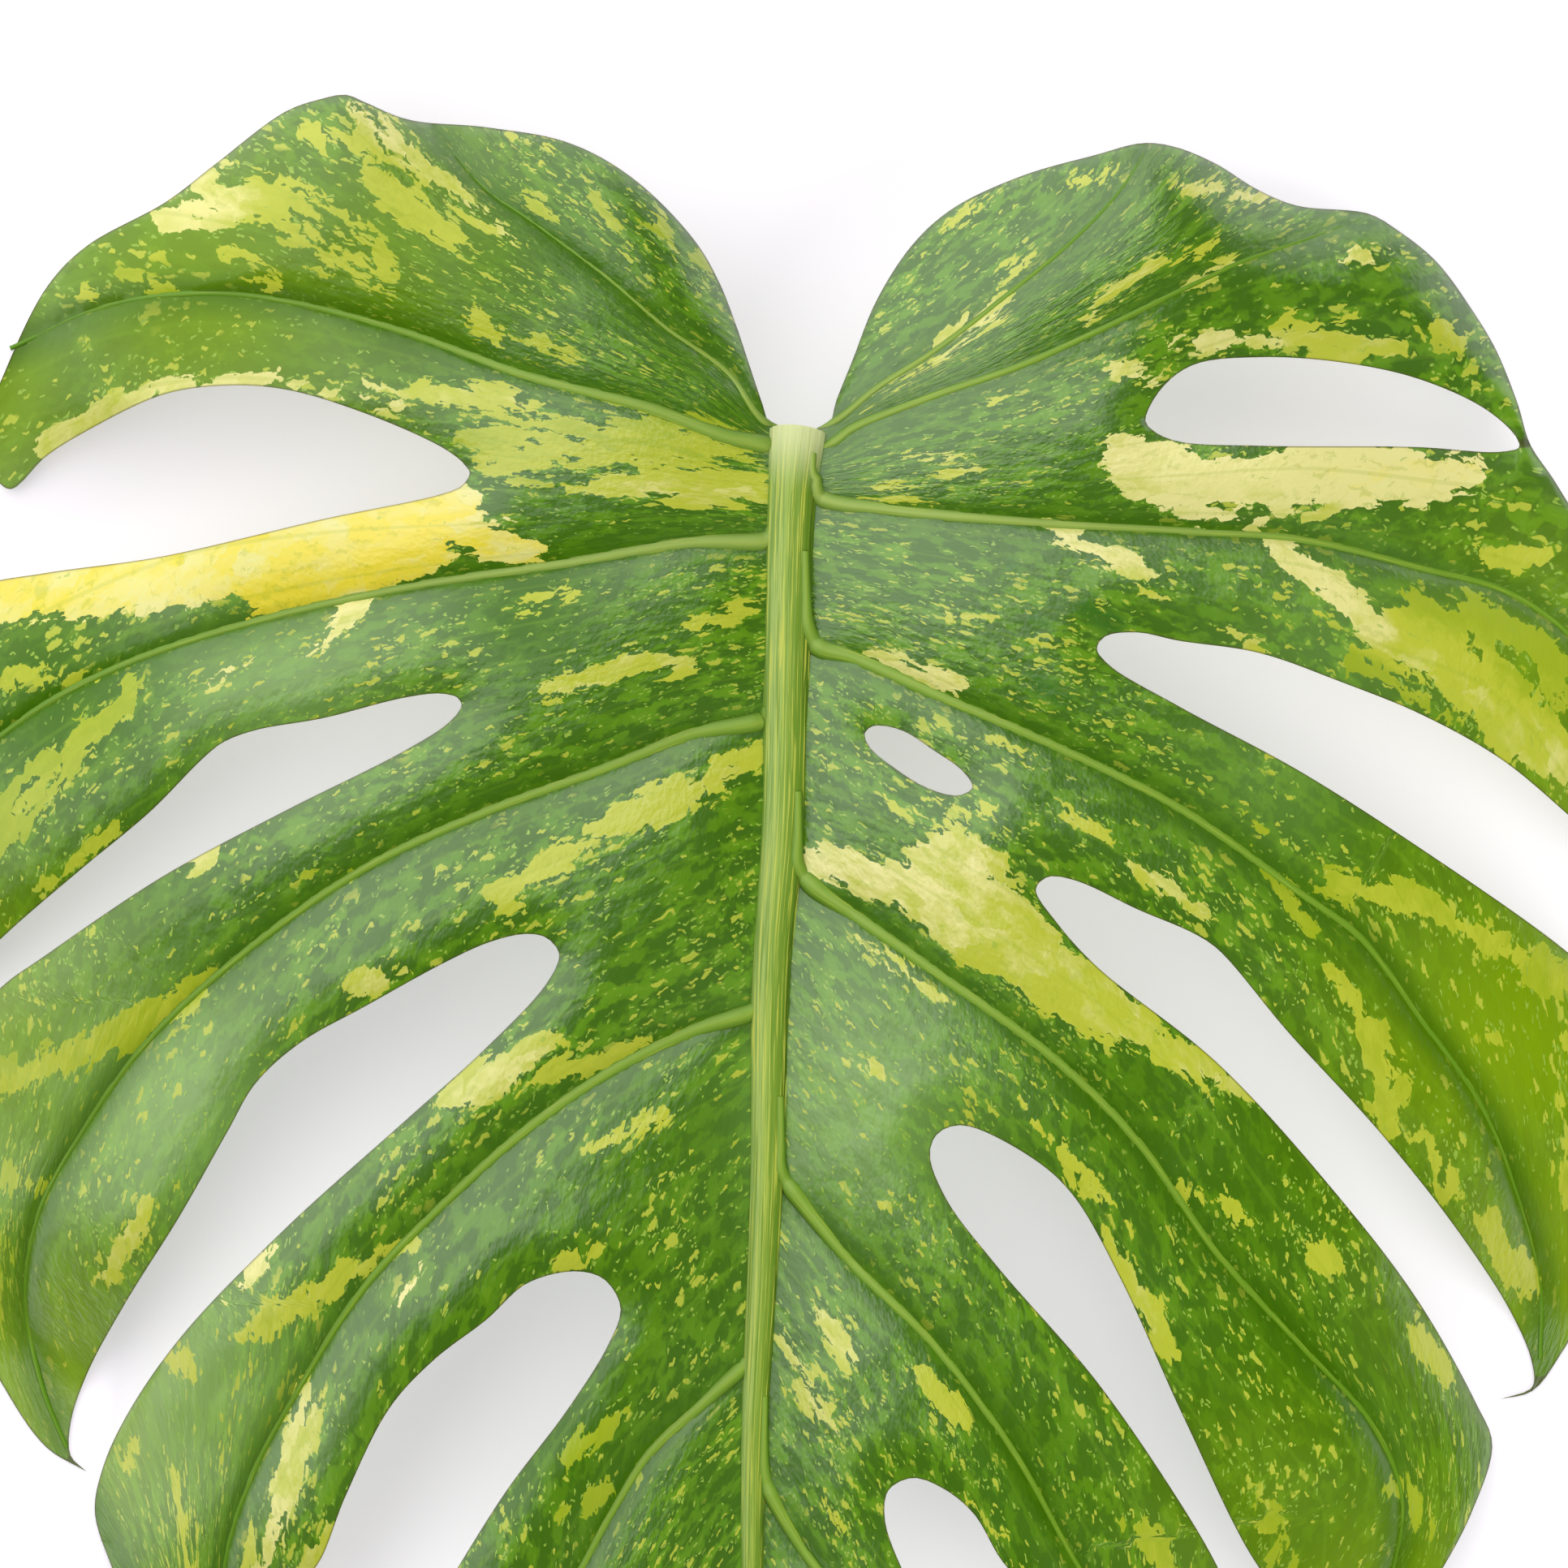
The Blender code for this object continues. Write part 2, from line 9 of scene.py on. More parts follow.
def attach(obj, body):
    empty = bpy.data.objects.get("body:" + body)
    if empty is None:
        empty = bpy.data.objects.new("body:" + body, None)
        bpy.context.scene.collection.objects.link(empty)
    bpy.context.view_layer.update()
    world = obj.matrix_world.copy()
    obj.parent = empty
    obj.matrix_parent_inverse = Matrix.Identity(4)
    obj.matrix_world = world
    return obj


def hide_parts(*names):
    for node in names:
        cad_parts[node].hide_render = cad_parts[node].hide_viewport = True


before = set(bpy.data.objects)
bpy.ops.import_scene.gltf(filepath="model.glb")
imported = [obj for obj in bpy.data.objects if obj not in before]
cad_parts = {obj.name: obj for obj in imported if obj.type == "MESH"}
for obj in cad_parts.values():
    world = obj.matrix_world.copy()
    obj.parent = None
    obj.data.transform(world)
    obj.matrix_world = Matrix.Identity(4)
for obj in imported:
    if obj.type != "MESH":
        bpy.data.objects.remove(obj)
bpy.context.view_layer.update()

# Camera
# The leaf lies face up and is seen from straight above, with a long lens far off, so that the low
# arch of the blade hardly changes its outline. Plan sizes are in mm from the joint of stalk and
# midrib, x to the right and y towards the stalk; the photograph's frame is 386 mm wide on the blade.
MM = 0.001
FRAME_WIDTH = 386.4
FRAME_CENTRE = (-3.8, -87.2)
FRAME_PLANE = 40.0
CAMERA_HEIGHT = 5000.0
SENSOR = 36.0
BLADE_MIDDLE = (-5.755, -173.50)

camera_data = bpy.data.cameras.new("camera")
camera_data.sensor_width = SENSOR
camera_data.lens = SENSOR * (CAMERA_HEIGHT - FRAME_PLANE) / FRAME_WIDTH
camera_data.clip_end = 50.0
camera = bpy.data.objects.new("camera", camera_data)
camera.location = (
    (FRAME_CENTRE[0] - BLADE_MIDDLE[0]) * MM,
    (FRAME_CENTRE[1] - BLADE_MIDDLE[1]) * MM,
    CAMERA_HEIGHT * MM,
)
bpy.context.scene.collection.objects.link(camera)
bpy.context.scene.camera = camera

# Blade
# The green, cream and yellow blade is one skin of leathery tissue, cut into lobes by slots that run
# in from the margin. It grew in one piece with its ribs, and swells between them like a quilt.
BLADE_THICK = 0.8
LEAST_UPRIGHT = 0.45

# The arch of the blade and its fold along the midrib, in mm; a fall is mm down for each square mm out
CROWN_HEIGHT = 62.0
CROWN_Y = -70.0
SIDE_FALL = 0.00106
LENGTH_FALL = 0.00047
MIDRIB_FOLD = 10.0
FOLD_REACH = 36.0

# The quilting between the side ribs: its rise for each mm of the gap between them, the widest gap
# that still adds to it, how far from the midrib it starts, and how calm it is in the right basal lobe
QUILT_RISE = 0.13
QUILT_WIDEST = 55.0
QUILT_ROUNDNESS = 0.6
QUILT_ROOT = 13.0
OUTER_SECTOR = 40.0
RIGHT_BASAL_CALM = 0.65
CALM_REACH = 15.0

# The margin rolls down, and more so on the basal lobes, where it is waved too
EDGE_ROLL = 3.5
EDGE_REACH = 13.0
BASAL_ROLL = 15.0
BASAL_REACH = 36.0
BASAL_START = 8.0
BASAL_SPAN = 30.0
BASAL_WAVE = 5.0
BASAL_WAVE_LENGTH = 75.0
LEFT_CREST_X = -112.0
RIGHT_CREST_X = 85.0

# A slight unevenness all over, and how softly the blade comes to rest on the surface
SWELL = 0.14
SWELL_LENGTH = 31.0
SETTLE = 4.0

# How finely the mesh follows the blade, and the box that its plan fills
GRID = 2.15
GRID_CLEAR = 0.5
NEAR_LINE = 3.0
EDGE_STEP = 2.0
SHARPEST_TURN = math.radians(14)
CURVE_STEP = 0.5
PATH_STEP = 5.0
RUN_BACK = 40.0
RUN_ON = 300.0
PLAN_X = (-245, 236)
PLAN_Y = (-432, 90)
SAME_PLACE = 1e-4

# Lobe tips that sag towards the surface: x, y, how far they sag, and how far in the sag starts
DROOPS = (
    (-204, -2, 24, 75),
    (-228, -165, 14, 70),
    (-183, -247, 20, 60),
    (-139, -316, 12, 55),
    (-99, -342, 12, 55),
    (-10, -426, 14, 70),
    (99, -334, 12, 55),
    (136, -306, 12, 55),
    (184, -230, 20, 60),
    (227, -138, 15, 65),
    (180, 4, 15, 70),
)
MIDRIB = (
    (0, 2), (-1.6, -14), (-3, -54), (-4, -94), (-6.8, -134), (-7.8, -174),
    (-9.4, -214), (-11.2, -250), (-11.6, -290), (-11.5, -340), (-10.5, -390), (-8, -429),
)
LEFT_RIBS = (
    ((-9, 2), (-18, 14), (-33, 25), (-47, 37), (-67, 52), (-77, 59), (-90, 74)),
    ((-9, -4), (-18, -2), (-37, 5), (-67, 13), (-97, 24), (-127, 32), (-147, 34), (-172, 31), (-196, 21)),
    ((-7, -27), (-27, -28), (-57, -33), (-97, -39), (-137, -48), (-167, -58), (-190, -70), (-212, -89),
     (-225, -112), (-231, -138), (-228, -164)),
    ((-8, -71), (-27, -75), (-47, -83), (-77, -94), (-107, -108), (-137, -129), (-161, -151),
     (-177, -173), (-188, -193), (-192, -215), (-188, -237), (-182, -252)),
    ((-10, -142), (-27, -148), (-47, -158), (-67, -172), (-87, -190), (-107, -211), (-122, -234),
     (-135, -258), (-142, -280), (-143, -300), (-138, -320)),
    ((-12, -228), (-22, -238), (-37, -252), (-47, -268), (-56, -284), (-72, -303), (-88, -322), (-99, -344)),
    ((-12, -295), (-22, -304), (-36, -319), (-49, -338), (-59, -360), (-65, -380)),
    ((-11, -350), (-19, -360), (-26, -373), (-30, -390)),
)
RIGHT_RIBS = (
    ((9, 2), (19, 10), (33, 19), (50, 32), (68, 47), (80, 60), (86, 70)),
    ((9, -3), (13, 0), (33, 8), (53, 15), (73, 24), (93, 34), (108, 41), (125, 47), (141, 53)),
    ((3, -17), (23, -20), (57, -23), (93, -25), (123, -27), (153, -34), (175, -40), (192, -52),
     (208, -74), (218, -98), (225, -122), (227, -140)),
    ((3, -54), (13, -56), (33, -65), (63, -78), (93, -93), (123, -114), (138, -125), (153, -145),
     (168, -166), (178, -190), (184, -212), (184, -230)),
    ((2, -113), (13, -119), (33, -133), (63, -155), (83, -175), (103, -203), (123, -225), (141, -245),
     (149, -264), (146, -285), (136, -308)),
    ((-3, -188), (13, -205), (33, -225), (53, -252), (68, -279), (82, -300), (94, -320), (99, -336)),
    ((-9, -262), (1, -276), (14, -293), (27, -312), (40, -335), (50, -362)),
    ((-9, -345), (0, -357), (8, -371), (12, -388)),
)

# The cut edge, in runs that meet at the lobes' tips, from the sinus to the leaf's tip
LEFT_EDGE = (
    # Basal lobe with its waved margin, first slot, outer margin of the second lobe
    ((0, 0), (-7, 1), (-9, 6), (-12, 15), (-16, 27), (-20, 37), (-26, 47), (-41, 62), (-57, 71),
     (-77, 75), (-97, 77), (-107, 81), (-112, 83), (-118, 82), (-127, 79), (-145, 66), (-157, 57),
     (-177, 46), (-187, 36), (-197, 16), (-202, 2), (-201, -9), (-196, -14), (-187, -6), (-177, 0),
     (-157, 9), (-142, 11), (-127, 10), (-107, 4), (-87, -5), (-82, -9), (-81, -11), (-83, -14),
     (-88, -16), (-117, -22), (-157, -31), (-187, -35), (-203, -38), (-217, -46), (-228, -60),
     (-236, -80), (-240, -104), (-240, -128), (-236, -150), (-226, -177)),
    # Second slot, outer margin of the third lobe and its hooked drip tip
    ((-226, -177), (-222, -160), (-215, -145), (-206, -134), (-197, -125), (-177, -108), (-160, -94),
     (-147, -81), (-142, -77), (-134, -74), (-117, -71), (-97, -66), (-88, -65), (-84, -66),
     (-83, -68), (-86, -72), (-97, -79), (-127, -94), (-157, -110), (-187, -130), (-197, -137),
     (-206, -147), (-211, -162), (-213, -184), (-210, -206), (-204, -224), (-197, -238),
     (-187, -252), (-177, -258)),
    # Third slot and fourth lobe
    ((-177, -258), (-181, -254), (-181, -246), (-177, -234), (-167, -216), (-153, -194), (-141, -173),
     (-134, -161), (-123, -151), (-107, -142), (-87, -131), (-76, -126), (-67, -124), (-62, -125),
     (-59, -129), (-62, -136), (-77, -152), (-97, -170), (-127, -197), (-153, -224), (-167, -244),
     (-173, -257), (-175, -268), (-171, -281), (-164, -296), (-154, -309), (-136, -326)),
    # Fourth slot and fifth lobe
    ((-136, -326), (-136, -312), (-132, -297), (-126, -287), (-119, -280), (-112, -263), (-101, -241),
     (-90, -229), (-77, -219), (-67, -210), (-55, -207), (-48, -209), (-44, -216), (-47, -225),
     (-57, -241), (-72, -261), (-84, -280), (-94, -297), (-102, -314), (-105, -332), (-101, -351)),
    # Fifth slot and sixth lobe
    ((-101, -351), (-97, -338), (-87, -325), (-71, -311), (-54, -301), (-41, -295), (-33, -294),
     (-29, -299), (-33, -309), (-46, -324), (-58, -341), (-67, -360), (-70, -376), (-66, -390)),
    # Last notch and the pointed end
    ((-66, -390), (-62, -379), (-53, -369), (-41, -361), (-31, -356), (-26, -357), (-25, -362),
     (-31, -372), (-36, -384), (-35, -397), (-27, -411), (-8, -430)),
)
RIGHT_EDGE = (
    # Basal lobe, the thread of margin that closes the long perforation, second lobe
    ((0, 0), (7, 1), (9, 7), (13, 17), (19, 32), (28, 46), (38, 55), (55, 63), (73, 68), (85, 71),
     (93, 70), (103, 66), (113, 60), (123, 56), (141, 54), (148, 50), (158, 42), (167, 30),
     (173, 20), (178, 7), (181, -3), (187, -12), (197, -29), (207, -48), (216, -69), (223, -92),
     (228, -116), (229, -145)),
    # Second slot, third lobe and its hooked drip tip
    ((229, -145), (222, -132), (212, -117), (200, -104), (189, -94), (173, -81), (153, -70),
     (133, -62), (113, -55), (93, -52), (83, -50), (75, -51), (73, -54), (76, -58), (93, -68),
     (123, -84), (153, -103), (189, -128), (199, -137), (204, -150), (206, -168), (204, -190),
     (199, -210), (189, -229), (182, -238), (174, -240)),
    # Third slot and fourth lobe
    ((174, -240), (182, -237), (182, -231), (177, -219), (163, -198), (143, -173), (120, -148),
     (103, -128), (97, -124), (83, -118), (68, -111), (61, -110), (58, -113), (63, -121), (73, -132),
     (103, -156), (133, -189), (153, -215), (168, -241), (172, -251), (167, -267), (158, -284),
     (147, -301), (130, -318)),
    # Fourth slot and fifth lobe
    ((130, -318), (132, -308), (126, -295), (113, -280), (95, -244), (79, -209), (67, -188),
     (57, -179), (40, -171), (34, -173), (32, -178), (36, -189), (48, -205), (73, -234), (93, -263),
     (103, -280), (109, -294), (111, -310), (108, -326), (99, -342)),
    # Fifth slot and sixth lobe
    ((99, -342), (96, -329), (85, -311), (68, -294), (51, -280), (43, -267), (36, -261), (28, -258),
     (22, -261), (21, -268), (25, -280), (35, -298), (46, -318), (55, -338), (58, -356), (52, -379)),
    # Last notch and the pointed end
    ((52, -379), (50, -369), (42, -357), (31, -347), (23, -342), (18, -344), (18, -353), (23, -368),
     (24, -383), (20, -397), (8, -413), (-8, -430)),
)
LONG_HOLE = (
    (85, 2), (89, 10), (97, 16), (113, 18), (133, 17), (153, 13), (170, 5.5), (177.6, -1.4),
    (178.2, -3.8), (173, -5), (153, -4), (113, -4), (93, -3), (87, -0.5),
)
SMALL_HOLE = (
    (16, -75), (18, -73), (25, -74), (33, -79), (40, -84), (42.4, -88), (39, -90), (31, -88),
    (23, -83), (17.5, -78.5),
)


def smooth_path(points, closed=False):
    """A smooth curve through the points, as points about CURVE_STEP apart (centripetal Catmull-Rom)."""
    p = np.array(points, float)
    if closed:
        p = np.vstack([p[-1], p, p[0], p[1]])
    else:
        p = np.vstack([2 * p[0] - p[1], p, 2 * p[-1] - p[-2]])
    curve = []
    for a, b, c, d in zip(p, p[1:], p[2:], p[3:]):
        t1 = math.sqrt(np.linalg.norm(b - a))
        t2 = t1 + math.sqrt(np.linalg.norm(c - b))
        t3 = t2 + math.sqrt(np.linalg.norm(d - c))
        steps = max(2, int(np.linalg.norm(c - b) / CURVE_STEP))
        t = np.linspace(t1, t2, steps, endpoint=False)[:, None]
        ab = a + (b - a) * t / t1
        bc = b + (c - b) * (t - t1) / (t2 - t1)
        cd = c + (d - c) * (t - t2) / (t3 - t2)
        abc = ab + (bc - ab) * t / t2
        bcd = bc + (cd - bc) * (t - t1) / (t3 - t1)
        curve.append(abc + (bcd - abc) * (t - t1) / (t2 - t1))
    if not closed:
        curve.append(p[-2][None, :])
    return np.vstack(curve)


def thinned(curve):
    """Only the points that the curve's shape needs: closer together where it turns."""
    kept = [0]
    turned = 0.0
    for i in range(1, len(curve) - 1):
        before = curve[i] - curve[i - 1]
        after = curve[i + 1] - curve[i]
        turned += abs(math.atan2(before[0] * after[1] - before[1] * after[0], before @ after))
        if turned > SHARPEST_TURN or np.linalg.norm(curve[i] - curve[kept[-1]]) > EDGE_STEP:
            kept.append(i)
            turned = 0.0
    return curve[kept]


def spaced(path, step):
    """Points an equal distance apart along a path, about step."""
    lengths = np.concatenate([[0], np.cumsum(np.linalg.norm(np.diff(path, axis=0), axis=1))])
    count = max(2, round(lengths[-1] / step) + 1)
    at = np.linspace(0, lengths[-1], count)
    return np.column_stack([np.interp(at, lengths, path[:, i]) for i in (0, 1)])


def nearest(path, x, y):
    """For each point: distance to the path, how far along it the nearest place is, and the side."""
    run = np.diff(path, axis=0)
    length = np.linalg.norm(run, axis=1)
    travelled = np.concatenate([[0], np.cumsum(length)[:-1]])
    best = np.full(len(x), np.inf)
    along = np.zeros(len(x))
    side = np.ones(len(x))
    for a, r, size, done in zip(path, run, length, travelled):
        t = np.clip(((x - a[0]) * r[0] + (y - a[1]) * r[1]) / size**2, 0, 1)
        gap = np.hypot(x - a[0] - t * r[0], y - a[1] - t * r[1])
        closer = gap < best
        best[closer] = gap[closer]
        along[closer] = done + t[closer] * size
        side[closer] = np.where(r[0] * (y - a[1]) - r[1] * (x - a[0]) >= 0, 1.0, -1.0)[closer]
    return best, along, side


def near_edge(loop, x, y, reach):
    """Distance to a closed loop, found only for points that may be within reach of each stretch."""
    best = np.full(len(x), reach)
    # The two offsets add up to 1.5 times the distance at most, and a stretch is under 4 mm long
    for a, b in zip(loop, np.roll(loop, -1, axis=0)):
        r = b - a
        off_middle = np.abs(x - (a[0] + b[0]) / 2) + np.abs(y - (a[1] + b[1]) / 2)
        close = np.flatnonzero(off_middle < 1.5 * reach + 3)
        px = x[close] - a[0]
        py = y[close] - a[1]
        t = np.clip((px * r[0] + py * r[1]) / max(r @ r, 1e-9), 0, 1)
        best[close] = np.minimum(best[close], np.hypot(px - t * r[0], py - t * r[1]))
    return best


def lengthened(path):
    """The path run straight on at both ends: back through the midrib, and out past the margin."""
    start = path[min(5, len(path) - 1)] - path[0]
    end = path[-1] - path[-2]
    first = path[0] - start / np.linalg.norm(start) * RUN_BACK
    last = path[-1] + end / np.linalg.norm(end) * RUN_ON
    return np.vstack([first, path, last])


midrib_path = smooth_path(MIDRIB)


def midrib_x(y):
    return np.interp(-y, -midrib_path[:, 1], midrib_path[:, 0])


def vein_place(x, y):
    """Each point's place among the side ribs, and beside the midrib.

    It gives the width of the gap between two ribs, the share across it, the way out along them, the
    number of ribs passed, the distance to the nearest rib, and the place beside the midrib.
    """
    width = np.zeros(len(x))
    across = np.zeros(len(x))
    out = np.zeros(len(x))
    number = np.zeros(len(x))
    rib_gap = np.zeros(len(x))
    beside = x - midrib_x(y)
    for ribs, hand in ((LEFT_RIBS, 1), (RIGHT_RIBS, -1)):
        mine = np.flatnonzero((beside * hand <= 0) if hand == 1 else (beside > 0))
        signed = []
        along = []
        for rib in ribs:
            gap, way, side = nearest(lengthened(spaced(smooth_path(rib), PATH_STEP)), x[mine], y[mine])
            signed.append(gap * side * hand)
            along.append(way - RUN_BACK)
        rows = np.array([signed[0] + OUTER_SECTOR] + signed + [signed[-1] - OUTER_SECTOR])
        ways = np.array([along[0]] + along + [along[-1]])
        above = (np.array(signed) >= 0).sum(axis=0)
        every = np.arange(len(mine))
        upper = np.maximum(rows[above, every], 0.0)
        lower = np.maximum(-rows[above + 1, every], 0.0)
        width[mine] = upper + lower + 1e-6
        across[mine] = upper / width[mine]
        out[mine] = ways[above, every] * (1 - across[mine]) + ways[above + 1, every] * across[mine]
        number[mine] = above - 1 + across[mine]
        rib_gap[mine] = np.abs(np.array(signed)).min(axis=0)
    return {
        "width": width, "across": across, "out": out, "number": number, "rib_gap": rib_gap,
        "beside": beside,
    }


def underside(x, y, edge_gap, place):
    """Height of the blade's underside. It never goes below the surface that the leaf lies on."""
    beside = place["beside"]
    across = place["across"]
    height = CROWN_HEIGHT - SIDE_FALL * x**2 - LENGTH_FALL * (y - CROWN_Y) ** 2
    height -= MIDRIB_FOLD * np.exp(-((beside / FOLD_REACH) ** 2))
    quilt = QUILT_RISE * np.minimum(place["width"], QUILT_WIDEST)
    quilt = quilt * (4 * across * (1 - across)) ** QUILT_ROUNDNESS
    quilt *= np.where(x > 0, 1 - RIGHT_BASAL_CALM * np.clip(y / CALM_REACH, 0, 1), 1.0)
    height += quilt * (1 - np.exp(-((beside / QUILT_ROOT) ** 2)))
    basal = np.clip((y - BASAL_START) / BASAL_SPAN, 0, 1)
    near = np.clip(1 - edge_gap / BASAL_REACH, 0, 1)
    crest = np.where(x < 0, LEFT_CREST_X, RIGHT_CREST_X)
    wave = BASAL_WAVE * np.cos(2 * math.pi * (x - crest) / BASAL_WAVE_LENGTH)
    height -= EDGE_ROLL * np.clip(1 - edge_gap / EDGE_REACH, 0, 1) ** 2
    height -= basal * (BASAL_ROLL * near**2 - wave * near)
    for tip_x, tip_y, sag, reach in DROOPS:
        near = np.clip(1 - np.hypot(x - tip_x, y - tip_y) / reach, 0, 1)
        height -= sag * near * near * (3 - 2 * near)
    # Crossed waves, each bent by the other's direction, so that no two swells are alike
    turn = 2 * math.pi / SWELL_LENGTH
    swell = np.sin(turn * x + 1.3 * np.sin(turn * y * 0.6))
    swell = swell * np.cos(turn * y * 1.2 + 0.8 * np.sin(turn * x * 0.7))
    height += SWELL * swell
    settled = (height + SETTLE) ** 2 / (4 * SETTLE)
    return np.where(height > SETTLE, height, np.where(height < -SETTLE, 0.0, settled))


def inside(loop, x, y):
    """Whether each point lies inside a closed loop."""
    result = np.zeros(len(x), bool)
    for a, b in zip(loop, np.roll(loop, -1, axis=0)):
        if a[1] != b[1]:
            band = np.flatnonzero((a[1] > y) != (b[1] > y))
            result[band] ^= x[band] < (b[0] - a[0]) * (y[band] - a[1]) / (b[1] - a[1]) + a[0]
    return result


edge_runs = [thinned(smooth_path(run)) for run in LEFT_EDGE]
edge_runs += [thinned(smooth_path(run)[::-1]) for run in reversed(RIGHT_EDGE)]
blade_edge = np.vstack(edge_runs)
blade_loops = [blade_edge] + [thinned(smooth_path(hole, closed=True)) for hole in (LONG_HOLE, SMALL_HOLE)]


def on_blade(x, y):
    result = inside(blade_loops[0], x, y)
    for hole in blade_loops[1:]:
        result &= ~inside(hole, x, y)
    return result


def edge_distance(x, y):
    return np.min([near_edge(loop, x, y, BASAL_REACH) for loop in blade_loops], axis=0)


def blade_plan():
    """The blade's plan as fine triangles whose sides follow the cut edge and the ribs' lines."""
    lines = [midrib_path[midrib_path[:, 1] < -1]] + [smooth_path(rib) for rib in LEFT_RIBS + RIGHT_RIBS]
    lines = [spaced(line, GRID)[:-1] for line in lines]
    rows = np.arange(*PLAN_Y, GRID * math.sqrt(3) / 2)
    grid = []
    for i, y in enumerate(rows):
        x = np.arange(*PLAN_X, GRID) + (GRID / 2 if i % 2 else 0)
        grid.append(np.column_stack([x, np.full(len(x), y)]))
    grid = np.vstack(grid)
    grid = grid[on_blade(*grid.T)]
    clear = np.min([near_edge(loop, *grid.T, NEAR_LINE) for loop in blade_loops], axis=0)
    for line in lines:
        clear = np.minimum(clear, near_edge(np.vstack([line, line[::-1]]), *grid.T, NEAR_LINE))
    grid = grid[clear > GRID * GRID_CLEAR]
    points = []
    edges = []
    for loop in blade_loops:
        first = len(points)
        points.extend(loop)
        edges.extend((first + i, first + (i + 1) % len(loop)) for i in range(len(loop)))
    for line in lines:
        first = len(points)
        points.extend(line)
        edges.extend((first + i, first + i + 1) for i in range(len(line) - 1))
    points.extend(grid)
    made = delaunay_2d_cdt([Vector(p) for p in points], edges, [], 0, SAME_PLACE)
    flat = np.array([tuple(p) for p in made[0]])
    triangles = np.array(made[2])
    middle = flat[triangles].mean(axis=1)
    triangles = triangles[on_blade(*middle.T)]
    a, b, c = (flat[triangles[:, i]] for i in range(3))
    turned = (b[:, 0] - a[:, 0]) * (c[:, 1] - a[:, 1]) - (b[:, 1] - a[:, 1]) * (c[:, 0] - a[:, 0])
    triangles[turned < 0] = triangles[turned < 0][:, ::-1]
    used, triangles = np.unique(triangles, return_inverse=True)
    return flat[used], triangles.reshape(-1, 3)


def upright_share(points, triangles):
    """How upright the surface's normal is at each point, from 0 to 1."""
    a, b, c = (points[triangles[:, i]] for i in range(3))
    face = np.cross(b - a, c - a)
    normal = np.zeros_like(points)
    for i in range(3):
        np.add.at(normal, triangles[:, i], face)
    return normal[:, 2] / np.linalg.norm(normal, axis=1)


def placed(points):
    """Plan millimetres to the frame's metres."""
    points = np.array(points, float)
    points[:, 0] -= BLADE_MIDDLE[0]
    points[:, 1] -= BLADE_MIDDLE[1]
    return points * MM


def new_object(name, points, faces, edges=()):
    mesh = bpy.data.meshes.new(name)
    mesh.from_pydata(placed(points).tolist(), list(edges), faces)
    thing = bpy.data.objects.new(name, mesh)
    bpy.context.scene.collection.objects.link(thing)
    return thing


def store(thing, name, values):
    """Keeps one number, or one vector, for each of the mesh's points."""
    values = np.asarray(values, np.float32)
    kind, field = ("FLOAT_VECTOR", "vector") if values.ndim == 2 else ("FLOAT", "value")
    layer = thing.data.attributes.new(name, kind, "POINT")
    layer.data.foreach_set(field, values.ravel())


plan, plan_triangles = blade_plan()
x, y = plan.T
place = vein_place(x, y)
edge_gap = edge_distance(x, y)
low = underside(x, y, edge_gap, place)
upright = upright_share(np.column_stack([plan, low]), plan_triangles)
rise = BLADE_THICK / np.maximum(upright, LEAST_UPRIGHT)
count = len(plan)
pairs = np.vstack([plan_triangles[:, [0, 1]], plan_triangles[:, [1, 2]], plan_triangles[:, [2, 0]]])
known = {tuple(pair) for pair in pairs.tolist()}
open_edges = [pair for pair in known if pair[::-1] not in known]
faces = plan_triangles.tolist() + (plan_triangles[:, ::-1] + count).tolist()
faces += [(b, a, a + count, b + count) for a, b in sorted(open_edges)]
blade_points = np.vstack([np.column_stack([plan, low + rise]), np.column_stack([plan, low])])
blade = new_object("blade", blade_points, faces)

